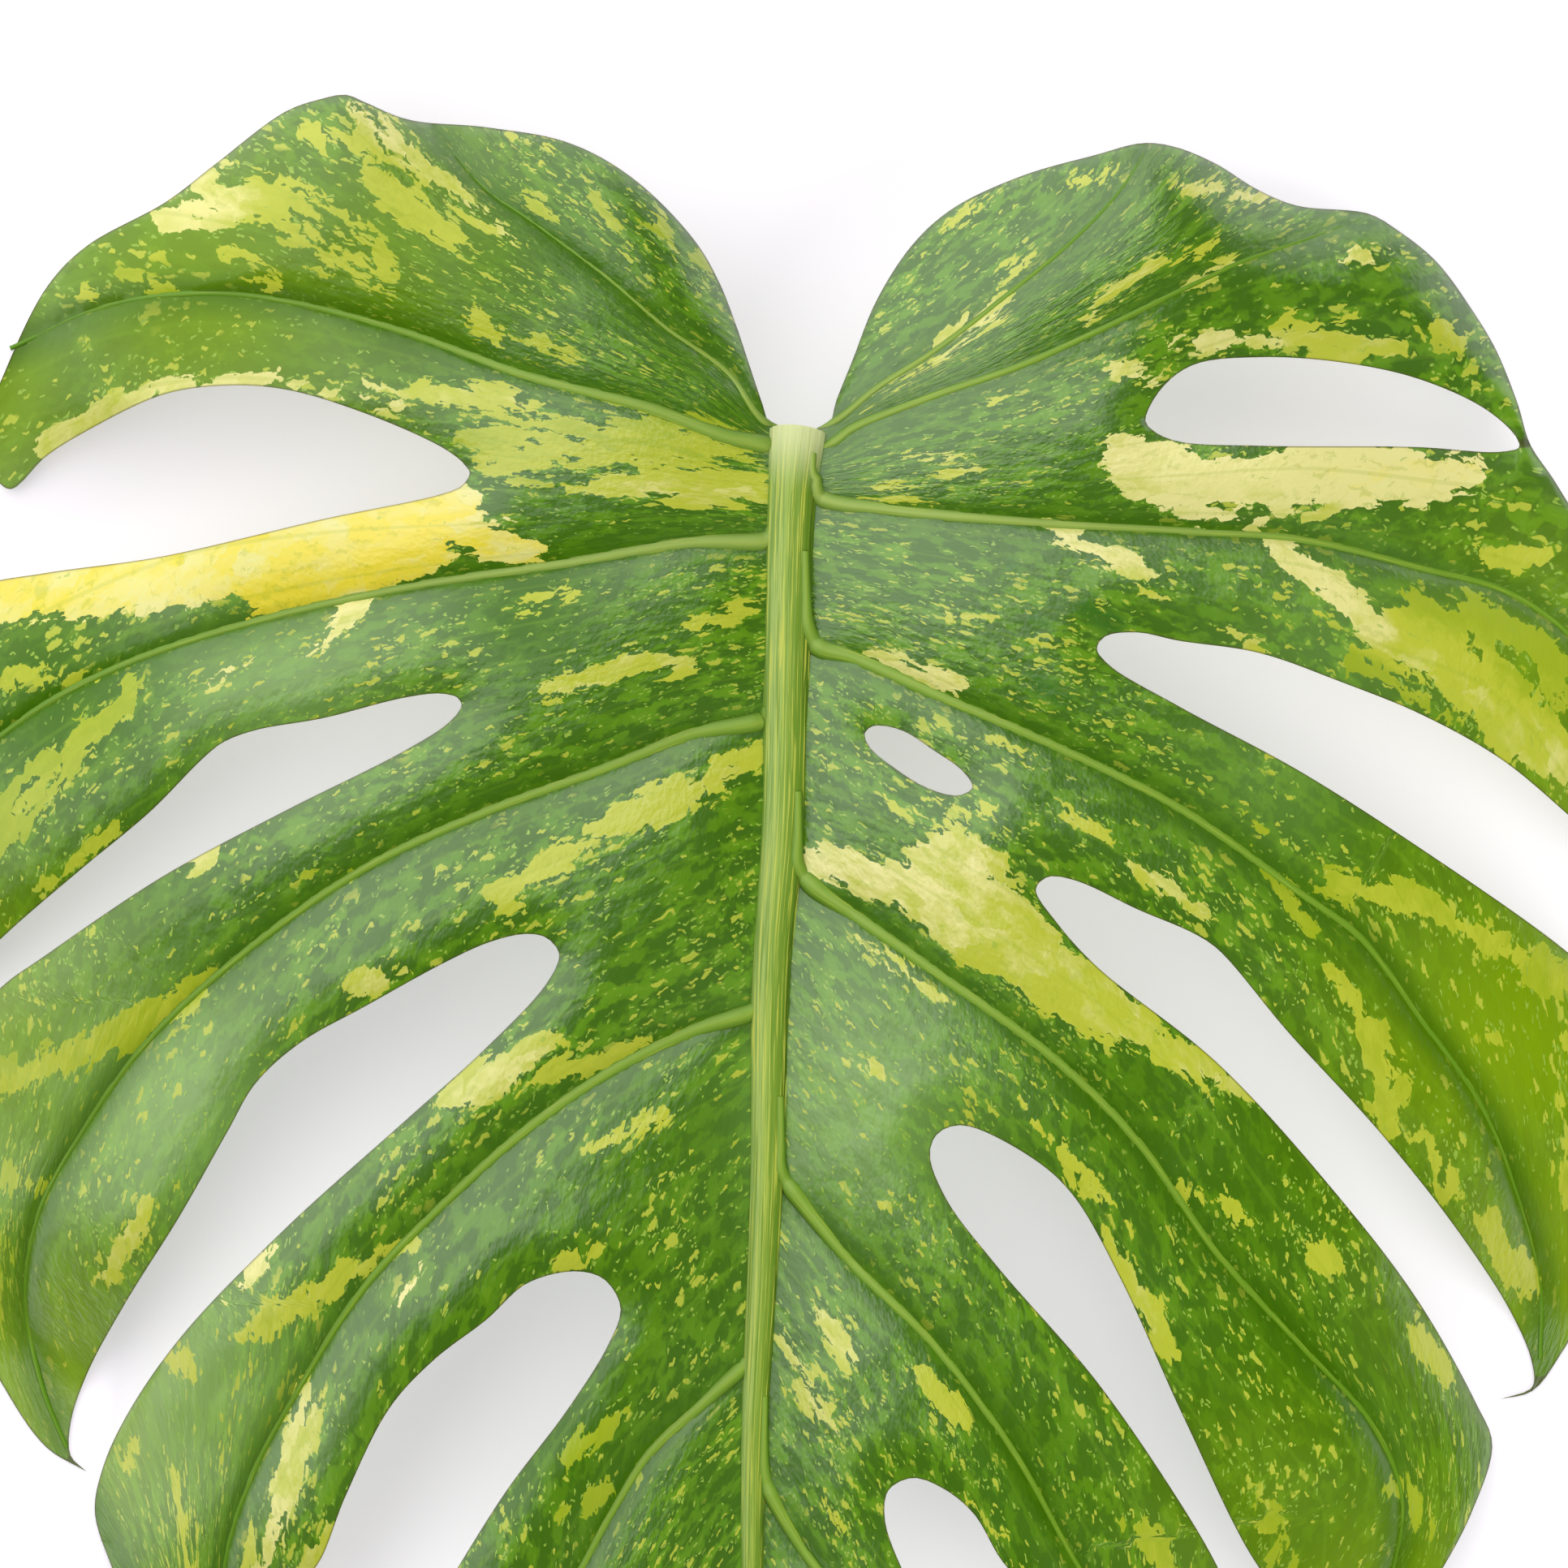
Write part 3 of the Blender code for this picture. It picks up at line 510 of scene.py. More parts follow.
# Parts of the blade with little green, each a streak from one point to another with its half width:
# x, y, x, y, half width, how solid it is, and its tone from -0.5, warm yellow, by 0, cream, and
# 0.5, lime, to 1, olive
PATCHES = (
    # Left basal lobe
    (-110, 80, -96, 67, 4.5, 1, 0.3), (-96, 68, -70, 46, 3.2, 0.9, 0.3), (-106, 62, -84, 46, 4, 1, 0.6),
    (-157, 53, -134, 58, 5, 1.1, 0.1), (-159, 58, -140, 67, 3, 0.9, 0.2),
    (-104, 38, -135, 64, 9, 0.1, 0.6), (-103, 38, -122, 50, 3, 0.8, 0.6),
    (-122, 74, -110, 70, 3.4, 0.9, 0.5), (-182, 34, -171, 33, 2.6, 1, 0.6),
    (-168, 39, -154, 35, 4, 0.5, 0.8), (-169, 44, -160, 44, 1.5, 0.8, 0.5),
    (-141, 44, -129, 35, 2.2, 0.8, 0.5), (-80, 27, -73, 21, 2.6, 1, 0.6),
    (-66, 22, -61, 21, 2, 0.9, 0.7), (-61, 20, -55, 16, 2, 0.9, 0.7), (-71, 72, -62, 68, 1.8, 0.9, 0.4),
    (-38, 57, -33, 46, 2, 0.9, 0.8), (-67, 57, -60, 52, 1.8, 0.7, 0.7),
    (-50, 56, -46, 50, 1.6, 0.7, 0.7), (-25, 42, -21, 33, 1.3, 0.7, 0.8),
    (-187, -3, -160, 9, 3, 0.9, 0.2), (-160, 10, -128, 13, 2.8, 1, 0.1),
    (-128, 12, -112, 8, 2, 0.8, 0.2), (-112, 11, -98, 6, 2.6, 0.9, 0.2), (-92, 9, -64, 6, 3.4, 1, 0.4),
    # Between the first slot and the midrib, and the second lobe
    (-12, -4, -80, -3, 6.5, 0.7, 0.75), (-58, -8, -80, -8, 5, 0.7, 0.7),
    (-6, -15, -54, -13, 4.4, 1.1, 0.35), (-25, 3, -60, 9, 3, 0.3, 0.8),
    (-86, -20, -128, -35, 11, 1.4, -0.3), (-90, -29, -134, -42, 6.5, 1.4, -0.5),
    (-118, -31, -205, -42, 7.5, 1.4, -0.25), (-92, -17, -160, -32, 5, 1.4, -0.25),
    (-88, -25, -64, -31, 3.4, 1.3, -0.3), (-202, -60, -172, -61, 4, 0.2, 0.6),
    (-165, -64, -203, -104, 5.5, 0.7, 0.85), (-108, -43, -122, -55, 2.8, 1, 0.2),
    (-97, -53, -110, -60, 3.2, 0.2, 0.6), (-135, -56, -147, -63, 2, 0.6, 0.2),
    (-168, -98, -188, -113, 2.4, 0.8, 0.7), (-212, -92, -228, -138, 6, 0.4, 0.7),
    # Third lobe on the left
    (-27, -57, -45, -58, 3.6, 1.1, 0.4), (-42, -60, -62, -64, 3.4, 1.1, 0.4),
    (-11, -44, -27, -49, 1.8, 0.8, 0.5), (-57, -39, -72, -44, 2.4, 0.8, 0.45),
    (-10, -79, -28, -90, 3.4, 1, 0.45), (-25, -89, -50, -99, 4.6, 1.1, 0.45),
    (-48, -100, -74, -113, 3.8, 0.8, 0.5), (-58, -108, -72, -119, 3, 0, 0.5),
    (-145, -137, -172, -151, 5, 0.9, 0.75), (-168, -149, -205, -165, 5, 0.9, 0.8),
    (-109, -137, -98, -134, 2.4, 1, 0.3), (-161, -192, -173, -210, 3.4, 1, 0.4),
    (-121, -110, -113, -110, 1.6, 0.9, 0.8), (-152, -108, -140, -102, 1.6, 0.9, 0.2),
    (-200, -183, -188, -187, 3, 0.4, 0.8), (-200, -195, -200, -222, 4, 0.1, 0.8),
    # Fourth, fifth and sixth lobes on the left
    (-62, -152, -86, -165, 5.6, 1, 0.35), (-38, -152, -62, -158, 3.4, 0.7, 0.6),
    (-96, -200, -138, -223, 4, 1, 0.55), (-129, -201, -143, -214, 1.7, 1, 0.1),
    (-121, -237, -133, -283, 4.6, 0.9, 0.3), (-118, -270, -122, -286, 2.6, 0.8, 0.3),
    (-93, -205, -101, -218, 2, 1, 0.05), (-33, -168, -51, -177, 3.4, 1, 0.5),
    (-58, -205, -50, -201, 1.6, 0.9, 0.5), (-168, -258, -163, -250, 2.4, 0.7, 0.6),
    (-155, -258, -152, -285, 3.5, 0.1, 0.5), (-160, -226, -147, -234, 4, 0.1, 0.4),
    (-43, -242, -57, -253, 2.8, 0.7, 0.9), (-42, -258, -61, -269, 2.8, 0.7, 0.9),
    (-66, -285, -88, -316, 4, 0.6, 0.5), (-40, -318, -60, -352, 5, 0.6, 0.4),
    (-22, -368, -26, -392, 4, 0.5, 0.6),
    # Right basal lobe
    (34, 49, 42, 56, 1.8, 0.8, 0.5), (33, 18, 50, 31, 2.3, 1, 0.25), (14, 5, 31, 16, 1.2, 0.6, 0.5),
    (71, 28, 89, 42, 2.4, 1, 0.3), (95, 36, 108, 41, 2.2, 1, 0.3), (95, 44, 109, 48, 1.6, 0.6, 0.5),
    (94, 60, 119, 57, 2.3, 1, 0.3), (133, 44, 149, 44, 2.9, 1, 0.25), (92, 21, 115, 23, 2, 1, 0.15),
    (113, 22, 147, 20, 3, 1, 0.35), (77, 15, 88, 12, 2.6, 0.7, 0.2), (46, 9, 54, 9, 1.3, 0.8, 0.4),
    (50, 37, 57, 42, 1.4, 0.9, 0.4), (68, 61, 76, 64, 1.6, 0.8, 0.6), (155, 28, 166, 20, 4, 0.4, 0.6),
    (116, 27, 137, 29, 2.2, 0.5, 0.5),
    # Second lobe on the right, beside the long perforation
    (80, -7, 98, -14, 8.5, 1.3, 0.1), (95, -13, 166, -10.5, 7, 1.4, 0),
    (88, -20, 114, -22, 3.2, 1, 0.1), (112, -21, 130, -20, 3, 0.5, 0.3), (62, -25, 86, -34, 3, 1, 0.15),
    (83, -36, 91, -40, 2.6, 0.7, 0.3), (118, -29, 142, -48, 4.6, 1.1, 0.15),
    (140, -48, 166, -60, 6.5, 1.1, 0.25), (158, -58, 195, -86, 8, 1.1, 0.4),
    (155, -45, 196, -66, 10, 0.3, 0.9), (169, -30, 184, -31, 2.5, 1, 0.45),
    (103, -50, 122, -55, 2, 0.5, 0.3), (128, -54, 165, -72, 4, 0, 0.9),
    (200, -60, 218, -100, 6, 0.5, 0.5), (28, -7, 44, -9, 2.2, 0.9, 0.35),
    (15, -15, 35, -16, 1.2, 0.9, 0.4), (27, -45, 46, -47, 1.7, 0.4, 0.35),
    (57, -53, 66, -55, 1.5, 0.7, 0.4),
    # Third lobe on the right
    (18, -57, 39, -63, 2.5, 1, 0.15), (32, -72, 38, -75, 1.8, 0.8, 0.7),
    (46, -77, 56, -82, 1.4, 0.6, 0.4), (24, -93, 58, -98, 7, -0.05, 0.4),
    (67, -95, 76, -101, 3, 0.8, 0.45), (82, -107, 100, -118, 2.8, 0.8, 0.3),
    (132, -112, 160, -119, 4.4, 1, 0.75), (158, -119, 192, -138, 4.6, 0.9, 0.75),
    (131, -134, 147, -162, 4, 0.9, 0.65), (116, -108, 125, -122, 2.4, 0.3, 0.8),
    (109, -96, 124, -104, 2.8, 0.2, 0.8), (138, -158, 147, -173, 2.4, 0.5, 0.6),
    (152, -174, 166, -193, 4, 0.2, 0.6), (171, -196, 184, -216, 3.8, 0.9, 0.55),
    (170, -149, 176, -151, 2, 0.9, 0.7), (190, -150, 192, -190, 6, 0.3, 0.6),
    # Fourth, fifth and sixth lobes on the right
    (3, -106, 30, -113, 5, 1.1, 0.15), (31, -104, 46, -106, 6, 1.2, 0.2),
    (30, -113, 58, -127, 11, 1.3, 0.35), (52, -128, 84, -147, 8.5, 1.3, 0.5),
    (80, -147, 112, -164, 3.8, 1, 0.4), (13, -125, 36, -141, 2.8, 0.8, 0.35),
    (12, -154, 24, -161, 2.6, 0.5, 0.3), (95, -187, 112, -196, 2.4, 1, 0.55),
    (120, -197, 131, -206, 2.4, 1, 0.5), (75, -198, 91, -227, 3.6, 0.9, 0.45),
    (153, -222, 161, -234, 2.8, 0.8, 0.5), (111, -255, 120, -285, 3, 0.7, 0.85),
    (113, -209, 119, -216, 2, 0.8, 0.75), (148, -260, 156, -271, 3.2, 0.7, 0.85),
    (31, -232, 41, -244, 2.8, 1, 0.45), (1, -236, 11, -249, 3.6, 0.7, 0.35),
    (5, -216, 14, -230, 2.2, 1, 0.3), (-6, -222, 3, -233, 2.2, 0.5, 0.3),
    (83, -269, 92, -282, 3.4, 0.7, 0.8), (43, -262, 50, -271, 2.3, 0.7, 0.4),
    (5, -262, 14, -283, 2.2, 0.7, 0.5), (54, -164, 66, -180, 2.4, 0.6, 0.4),
    (68, -182, 80, -196, 3, 0.1, 0.4), (14, -189, 28, -193, 1.5, 0.4, 0.5),
    (28, -312, 44, -345, 4, 0.6, 0.5), (-3, -365, 8, -392, 4.5, 0.5, 0.4),
)
PATCH_BLUR = 3.6
PATCH_TAPER = 0.35
TONE_REACH = 2.0
STRAY_TONE = 0.5
STRAY_WEIGHT = 0.02


def off_streak(x0, y0, x1, y1):
    """Each blade point's share along a straight streak, and its distance from it."""
    way = np.array([x1 - x0, y1 - y0], float)
    t = np.clip(((x - x0) * way[0] + (y - y0) * way[1]) / (way @ way), 0, 1)
    return t, np.hypot(x - x0 - t * way[0], y - y0 - t * way[1])


patch = np.full(count, -1.0)
tone_sum = np.full(count, STRAY_WEIGHT)
tone = np.full(count, STRAY_WEIGHT * STRAY_TONE)
for x0, y0, x1, y1, half, solid, shade in PATCHES:
    t, gap = off_streak(x0, y0, x1, y1)
    taper = half * (1 - PATCH_TAPER * np.abs(2 * t - 1) ** 2)
    field = np.clip((taper - gap) / PATCH_BLUR, -1, 1)
    patch = np.maximum(patch, (field + 1) / 2 * (solid + 1) - 1)
    weight = np.exp(-((gap / (half + TONE_REACH)) ** 2) * 2)
    tone_sum += weight
    tone += weight * shade

# Small dark bruises beside the second slot on the right: x, y, x, y, half width
BRUISES = (
    (57, -62, 66, -67, 2.6), (69, -43, 77, -48, 3), (51, -33, 53, -36, 1.6), (57, -46, 60, -48, 1.6),
)
BRUISE_BLUR = 3.0
bruise = np.zeros(count)
for x0, y0, x1, y1, half in BRUISES:
    _, gap = off_streak(x0, y0, x1, y1)
    bruise = np.maximum(bruise, np.clip((half + BRUISE_BLUR / 2 - gap) / BRUISE_BLUR, 0, 1))

# Where light comes through the thin outer lobes they are a brighter yellow green: x, y, reach, share
GLOWS = (
    (178, -150, 42, 0.7), (195, -100, 34, 0.65), (195, -205, 42, 0.75), (150, -300, 40, 0.6),
    (186, -55, 30, 0.5), (-215, 10, 42, 0.65), (-215, -150, 42, 0.65), (-190, -240, 42, 0.75),
    (-150, 32, 48, 0.5), (115, -270, 30, 0.3), (-105, 48, 34, 0.35),
)
# Where the waxy sheen is thin and painted shade makes the green deeper: x, y, reach, share
DULL_AND_SHADED_SPOTS = (
    (-150, 32, 48, 1), (-100, 42, 36, 0.9), (-200, 10, 36, 1), (-50, 40, 24, 0.4), (-185, -62, 34, 1),
    (-140, -36, 34, 0.5), (-200, -100, 40, 0.6), (-190, -160, 34, 0.5), (178, -145, 46, 0.95),
    (140, -110, 34, 0.7), (120, -190, 36, 0.8), (120, -235, 40, 0.9), (140, -280, 40, 0.8),
    (60, -262, 30, 0.5), (-58, -250, 28, 0.6), (180, -60, 30, 0.5), (-30, -205, 22, 0.5),
    (80, -160, 24, 0.6), (-66, -46, 22, 0.8), (-76, 42, 26, 0.9), (-160, -127, 28, 0.5),
    (-66, -110, 24, 0.3), (-30, -180, 24, 0.5), (-66, 36, 20, 0.5),
)
# Where a painted sheen of light on the wax makes the green paler: x, y, reach, share
PAINTED_SHEEN_SPOTS = (
    (-155, -166, 30, 0.5), (16, -167, 28, 0.45), (-128, -62, 28, 0.4), (-146, -234, 26, 0.45),
    (130, -50, 26, 0.2), (118, -82, 22, 0.2),
)


def spots(areas):
    """The largest share of any soft round area at each point of the blade."""
    result = np.zeros(count)
    for mx, my, reach, share in areas:
        result = np.maximum(result, share * np.exp(-((x - mx) ** 2 + (y - my) ** 2) / reach**2))
    return result


glow = spots(GLOWS)
dull_and_shade = spots(DULL_AND_SHADED_SPOTS)
painted_sheen = spots(PAINTED_SHEEN_SPOTS)

# Coordinates that run with the veins, for the patterns: mm out along them, and about mm across them.
# The right half is moved far along, so that its patterns are not the left half's
VEIN_PITCH = 46.0
RIGHT_HALF = 900.0
RIB_REACH = 20.0
far = np.where(place["beside"] < 0, 0.0, RIGHT_HALF)
flow = np.column_stack([place["out"] + far, place["number"] * VEIN_PITCH, np.zeros(count)])
for name, values in (
    ("flow", flow),
    ("patch", patch),
    ("tone", tone / tone_sum),
    ("edge", edge_gap),
    ("rib", np.minimum(place["rib_gap"], RIB_REACH)),
    ("glow", glow),
    ("dull_and_shade", dull_and_shade),
    ("painted_sheen", painted_sheen),
    ("bruise", bruise),
):
    store(blade, name, np.concatenate([values, values]))
CUT_EDGE = math.radians(55)
blade.data.shade_smooth()
blade.data.set_sharp_from_angle(angle=CUT_EDGE)


def linear(hex_colour):
    """A linear colour from an sRGB hex value."""
    channels = [int(hex_colour[i:i + 2], 16) / 255 for i in (1, 3, 5)]
    return [c / 12.92 if c <= 0.04045 else ((c + 0.055) / 1.055) ** 2.4 for c in channels] + [1.0]


def add_node(tree, kind, settings=None, inputs=None):
    """A node with its settings; each input is a value or another node's output."""
    node = tree.nodes.new(kind)
    for key, value in (settings or {}).items():
        setattr(node, key, value)
    for key, value in (inputs or {}).items():
        if isinstance(value, bpy.types.NodeSocket):
            tree.links.new(value, node.inputs[key])
        else:
            node.inputs[key].default_value = value
    return node


def laid_over(tree, under, over, most, value, ends=(0.0, 1.0), soft=True):
    """A colour laid over another, by a share that grows to most as a value goes from end to end."""
    share = add_node(tree, "ShaderNodeMapRange", {"interpolation_type": "SMOOTHSTEP" if soft else "LINEAR"},
                     {"Value": value, "From Min": ends[0], "From Max": ends[1], "To Max": most})
    mix = add_node(tree, "ShaderNodeMix", {"data_type": "RGBA"},
                   {0: share.outputs["Result"], 6: under, 7: over})
    return mix.outputs[2]


def drawn_out(tree, kind, settings, inputs, vector, length, breadth, offset):
    """A texture whose unit is length long in the vector's first direction and breadth in its second."""
    place = add_node(tree, "ShaderNodeMapping", None, {
        "Vector": vector, "Location": (offset, offset, offset), "Scale": (1 / length, 1 / breadth, 1.0),
    })
    return add_node(tree, kind, settings, {"Vector": place.outputs[0], "Scale": 1.0, **inputs})


def cloud(tree, vector, length, breadth, detail, offset=0.0):
    """Soft noise drawn out along the veins."""
    noise = drawn_out(tree, "ShaderNodeTexNoise", {"noise_dimensions": "2D"},
                      {"Detail": detail, "Roughness": 0.6}, vector, length, breadth, offset)
    return noise.outputs["Fac"]


def cells(tree, vector, length, breadth, offset=0.0):
    """Cell groups drawn out along the veins: a random number for each, and the way to its middle."""
    voronoi = drawn_out(tree, "ShaderNodeTexVoronoi", {"voronoi_dimensions": "2D"}, {},
                        vector, length, breadth, offset)
    parted = add_node(tree, "ShaderNodeSeparateColor", None, {0: voronoi.outputs["Color"]})
    return parted.outputs[0], voronoi.outputs["Distance"]


def weighed(tree, parts, start=0.0):
    """A starting value, and for each part its value less a half and times its weight."""
    total = start
    for value, weight in parts:
        share = add_node(tree, "ShaderNodeMath", {"operation": "MULTIPLY_ADD"},
                         {0: value, 1: weight, 2: -weight / 2})
        total = add_node(tree, "ShaderNodeMath", {"operation": "ADD"}, {0: total, 1: share.outputs[0]})
        total = total.outputs[0]
    return total


# Variegated leaf skin: a waxy green cuticle over leathery tissue. Groups of cells without green show
# cream or yellow, in ragged streaks and specks drawn out along the side veins as the leaf grew.
DEEP_GREEN = linear("#437002")
MID_GREEN = linear("#659806")
SOFT_GREEN = linear("#7ca61c")
GLOW_GREEN = linear("#90b003")
FLECK = linear("#b6c33c")
PALE_FLECK = linear("#96b840")
CREAM = linear("#efe996")
WARM_YELLOW = linear("#f3e03c")
LIME = linear("#c1c938")
OLIVE = linear("#a0b41c")
EDGE_LINE = linear("#4a4420")
BRUISE = linear("#2f6a04")
PAINTED_SHEEN = linear("#9cc46c")

leaf_skin = bpy.data.materials.new("variegated leaf skin")
leaf_skin.use_nodes = True
tree = leaf_skin.node_tree
shader = tree.nodes["Principled BSDF"]
flow_at = add_node(tree, "ShaderNodeAttribute", {"attribute_name": "flow"}).outputs["Vector"]
patch_at, tone_at, edge_at, rib_at, glow_at, dull_and_shade_at, painted_sheen_at, bruise_at = (
    add_node(tree, "ShaderNodeAttribute", {"attribute_name": name}).outputs["Fac"]
    for name in ("patch", "tone", "edge", "rib", "glow", "dull_and_shade", "painted_sheen", "bruise")
)

# The cells' rows wander by up to 1.5 mm along the veins and 0.8 mm across them
wander = add_node(tree, "ShaderNodeTexNoise", {"noise_dimensions": "2D"},
                  {"Vector": flow_at, "Scale": 0.45, "Detail": 2.0})
wander = add_node(tree, "ShaderNodeVectorMath", {"operation": "MULTIPLY_ADD"},
                  {0: wander.outputs["Color"], 1: (3.0, 1.6, 0.0), 2: (-1.5, -0.8, 0.0)})
bent = add_node(tree, "ShaderNodeVectorMath", {"operation": "ADD"}, {0: flow_at, 1: wander.outputs[0]})
bent = bent.outputs[0]

# Cell groups and soft noises of several sizes, in mm along and across the veins
large, _ = cells(tree, bent, length=10.0, breadth=3.4)
medium, _ = cells(tree, bent, length=4.4, breadth=1.5, offset=7.0)
small, _ = cells(tree, bent, length=1.9, breadth=0.7, offset=13.0)
broad = cloud(tree, flow_at, length=38.0, breadth=16.0, detail=2.0, offset=5.3)
ragged = cloud(tree, bent, length=8.0, breadth=2.6, detail=2.5, offset=11.7)
fine = cloud(tree, bent, length=2.6, breadth=1.0, detail=3.0, offset=23.1)

# Deep green where its cells are dense and as painted shade where the blade is dull; softer in small islands
islands = weighed(tree, ((ragged, 1.35), (medium, 0.16)))
green = laid_over(tree, DEEP_GREEN, MID_GREEN, 1.0, islands, (-0.10, 0.14))
green = laid_over(tree, green, DEEP_GREEN, 0.75, dull_and_shade_at, soft=False)
green = laid_over(tree, green, DEEP_GREEN, 0.28, broad, (0.56, 0.40))
green = laid_over(tree, green, SOFT_GREEN, 0.35, islands, (0.26, 0.32))
green = laid_over(tree, green, GLOW_GREEN, 1.0, glow_at, soft=False)
# Painted sheen: a paler green where light shines on the wax
green = laid_over(tree, green, PAINTED_SHEEN, 1.0, painted_sheen_at, soft=False)

# Specks: only some cell groups have one, more of them where the broad noise is high and by a patch.
# Length and breadth in mm, the speck's share of its cell, offset, colour, and how rare it is
SPECKS = (
    (1.7, 0.55, 0.36, 31.0, PALE_FLECK, 0.92),
    (3.6, 0.85, 0.34, 43.0, FLECK, 0.97),
    (6.5, 1.5, 0.36, 57.0, FLECK, 1.01),
)
SPECK_EDGE = 0.08
CHANCE_EDGE = 0.02
by_patch = add_node(tree, "ShaderNodeMapRange", {"interpolation_type": "SMOOTHSTEP"},
                    {"Value": patch_at, "From Min": -1.0, "From Max": 0.2, "To Max": 0.10})
by_noise = add_node(tree, "ShaderNodeMapRange", {"interpolation_type": "SMOOTHSTEP"},
                    {"Value": broad, "From Min": 0.36, "From Max": 0.68, "To Max": 0.16})
plenty = add_node(tree, "ShaderNodeMath", {"operation": "ADD"},
                  {0: by_noise.outputs["Result"], 1: by_patch.outputs["Result"]})
for length, breadth, size, offset, colour, least in SPECKS:
    chance, off_middle = cells(tree, bent, length, breadth, offset)
    chance = add_node(tree, "ShaderNodeMath", {"operation": "ADD"}, {0: chance, 1: plenty.outputs[0]})
    shaped = add_node(tree, "ShaderNodeMapRange", {"interpolation_type": "SMOOTHSTEP"},
                      {"Value": off_middle, "From Min": size, "From Max": size - SPECK_EDGE})
    green = laid_over(tree, green, colour, shaped.outputs["Result"], chance.outputs[0],
                      (least, least + CHANCE_EDGE))

# The light patches: warm yellow, cream, lime or olive by their tone, with stains of green cells
toned = weighed(tree, ((large, 0.22), (ragged, 0.42), (medium, 0.12)), tone_at)
light = laid_over(tree, WARM_YELLOW, CREAM, 1.0, toned, (-0.45, 0.0))
light = laid_over(tree, light, LIME, 1.0, toned, (0.05, 0.5))
light = laid_over(tree, light, OLIVE, 1.0, toned, (0.55, 1.0))
stained = weighed(tree, ((fine, 1.0), (small, 0.45), (medium, 0.4)))
light = laid_over(tree, light, PALE_FLECK, 0.5, stained, (0.44, 0.50))
light = laid_over(tree, light, OLIVE, 0.3, stained, (-0.16, -0.40))
# Painted shade: the patches are a little more olive where the blade is dull
light = laid_over(tree, light, OLIVE, 0.2, dull_and_shade_at, soft=False)

# A patch and its ragged border: where the patch outweighs the cells, the light colours show
borders = weighed(tree, ((large, 1.2), (medium, 0.55), (small, 0.16), (ragged, 1.25)), patch_at)
cream = add_node(tree, "ShaderNodeMapRange", {"interpolation_type": "SMOOTHSTEP"},
                 {"Value": borders, "From Min": 0.07, "From Max": 0.13}).outputs["Result"]
colour = laid_over(tree, green, light, 1.0, cream, soft=False)

# The finest side veins run between the ribs as faint lines, darker on cream and lighter on green
veins = add_node(tree, "ShaderNodeTexWave", {"bands_direction": "Y"}, {
    "Vector": flow_at, "Scale": 0.041, "Distortion": 1.2, "Detail": 2.0, "Detail Scale": 0.05,
})
vein_colour = laid_over(tree, SOFT_GREEN, OLIVE, 1.0, cream, soft=False)
colour = laid_over(tree, colour, vein_colour, 0.22, veins.outputs["Fac"], (0.975, 0.998))
bruised = add_node(tree, "ShaderNodeMath", {"operation": "MULTIPLY"}, {0: bruise_at, 1: 0.85})
colour = laid_over(tree, colour, BRUISE, bruised.outputs[0], ragged, (0.46, 0.52))

# Painted shade makes the green deeper close to a rib, and the cut edge of the blade is a thin brown line
painted_rib_shade = add_node(tree, "ShaderNodeMapRange", {"interpolation_type": "SMOOTHSTEP"},
                     {"Value": cream, "From Min": 1.0, "From Max": 0.0, "To Max": 0.65})
colour = laid_over(tree, colour, DEEP_GREEN, painted_rib_shade.outputs["Result"], rib_at, (8.0, 1.0))
colour = laid_over(tree, colour, EDGE_LINE, 0.7, edge_at, (0.55, 0.05))
tree.links.new(colour, shader.inputs["Base Color"])

# The skin's unevenness between the finest veins, a fraction of a millimetre deep
pebbles = cloud(tree, flow_at, length=1.7, breadth=1.2, detail=1.0, offset=83.0)
dents = cloud(tree, flow_at, length=8.0, breadth=2.6, detail=1.0, offset=97.0)
skin_height = add_node(tree, "ShaderNodeMath", {"operation": "MULTIPLY_ADD"}, {0: dents, 1: 1.5, 2: pebbles})
bump = add_node(tree, "ShaderNodeBump", None,
                {"Strength": 0.3, "Distance": 0.0005, "Height": skin_height.outputs[0]})
tree.links.new(bump.outputs[0], shader.inputs["Normal"])

# The wax is a little rougher in some places, and less shiny where painted shade makes the blade dull
gloss = add_node(tree, "ShaderNodeMapRange", None,
                 {"Value": broad, "From Min": 0.3, "From Max": 0.7, "To Min": 0.29, "To Max": 0.37})
tree.links.new(gloss.outputs["Result"], shader.inputs["Roughness"])
shine = add_node(tree, "ShaderNodeMapRange", None, {"Value": dull_and_shade_at, "To Min": 1.0, "To Max": 0.22})
tree.links.new(shine.outputs["Result"], shader.inputs["Specular IOR Level"])
blade.data.materials.append(leaf_skin)
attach(blade, "root")
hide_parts("monstera_leaf")

# Midrib
# The thick pale rib down the middle is the blade's backbone, a bundle of fibres in firm tissue. It
# stands a little above the upper face with fine grooves along it, and forms a round keel below.
MIDRIB_HALF = ((-428, 0.7), (-280, 2.9), (-154, 4.8), (-94, 5.6), (-14, 6.1), (0, 7.2))
MIDRIB_FLATNESS = 0.62
MIDRIB_SUNK = -0.04
MIDRIB_STEP = 2.5
MIDRIB_SIDES = 88
GROOVES = 22.0
GROOVE_DEPTH = 0.012


def surface_height(points):
    """Height of the middle of the blade's thickness at plan points."""
    px, py = np.asarray(points, float).T
    return underside(px, py, edge_distance(px, py), vein_place(px, py)) + BLADE_THICK / 2


def midrib_half(y):
    return np.interp(y, *zip(*MIDRIB_HALF))


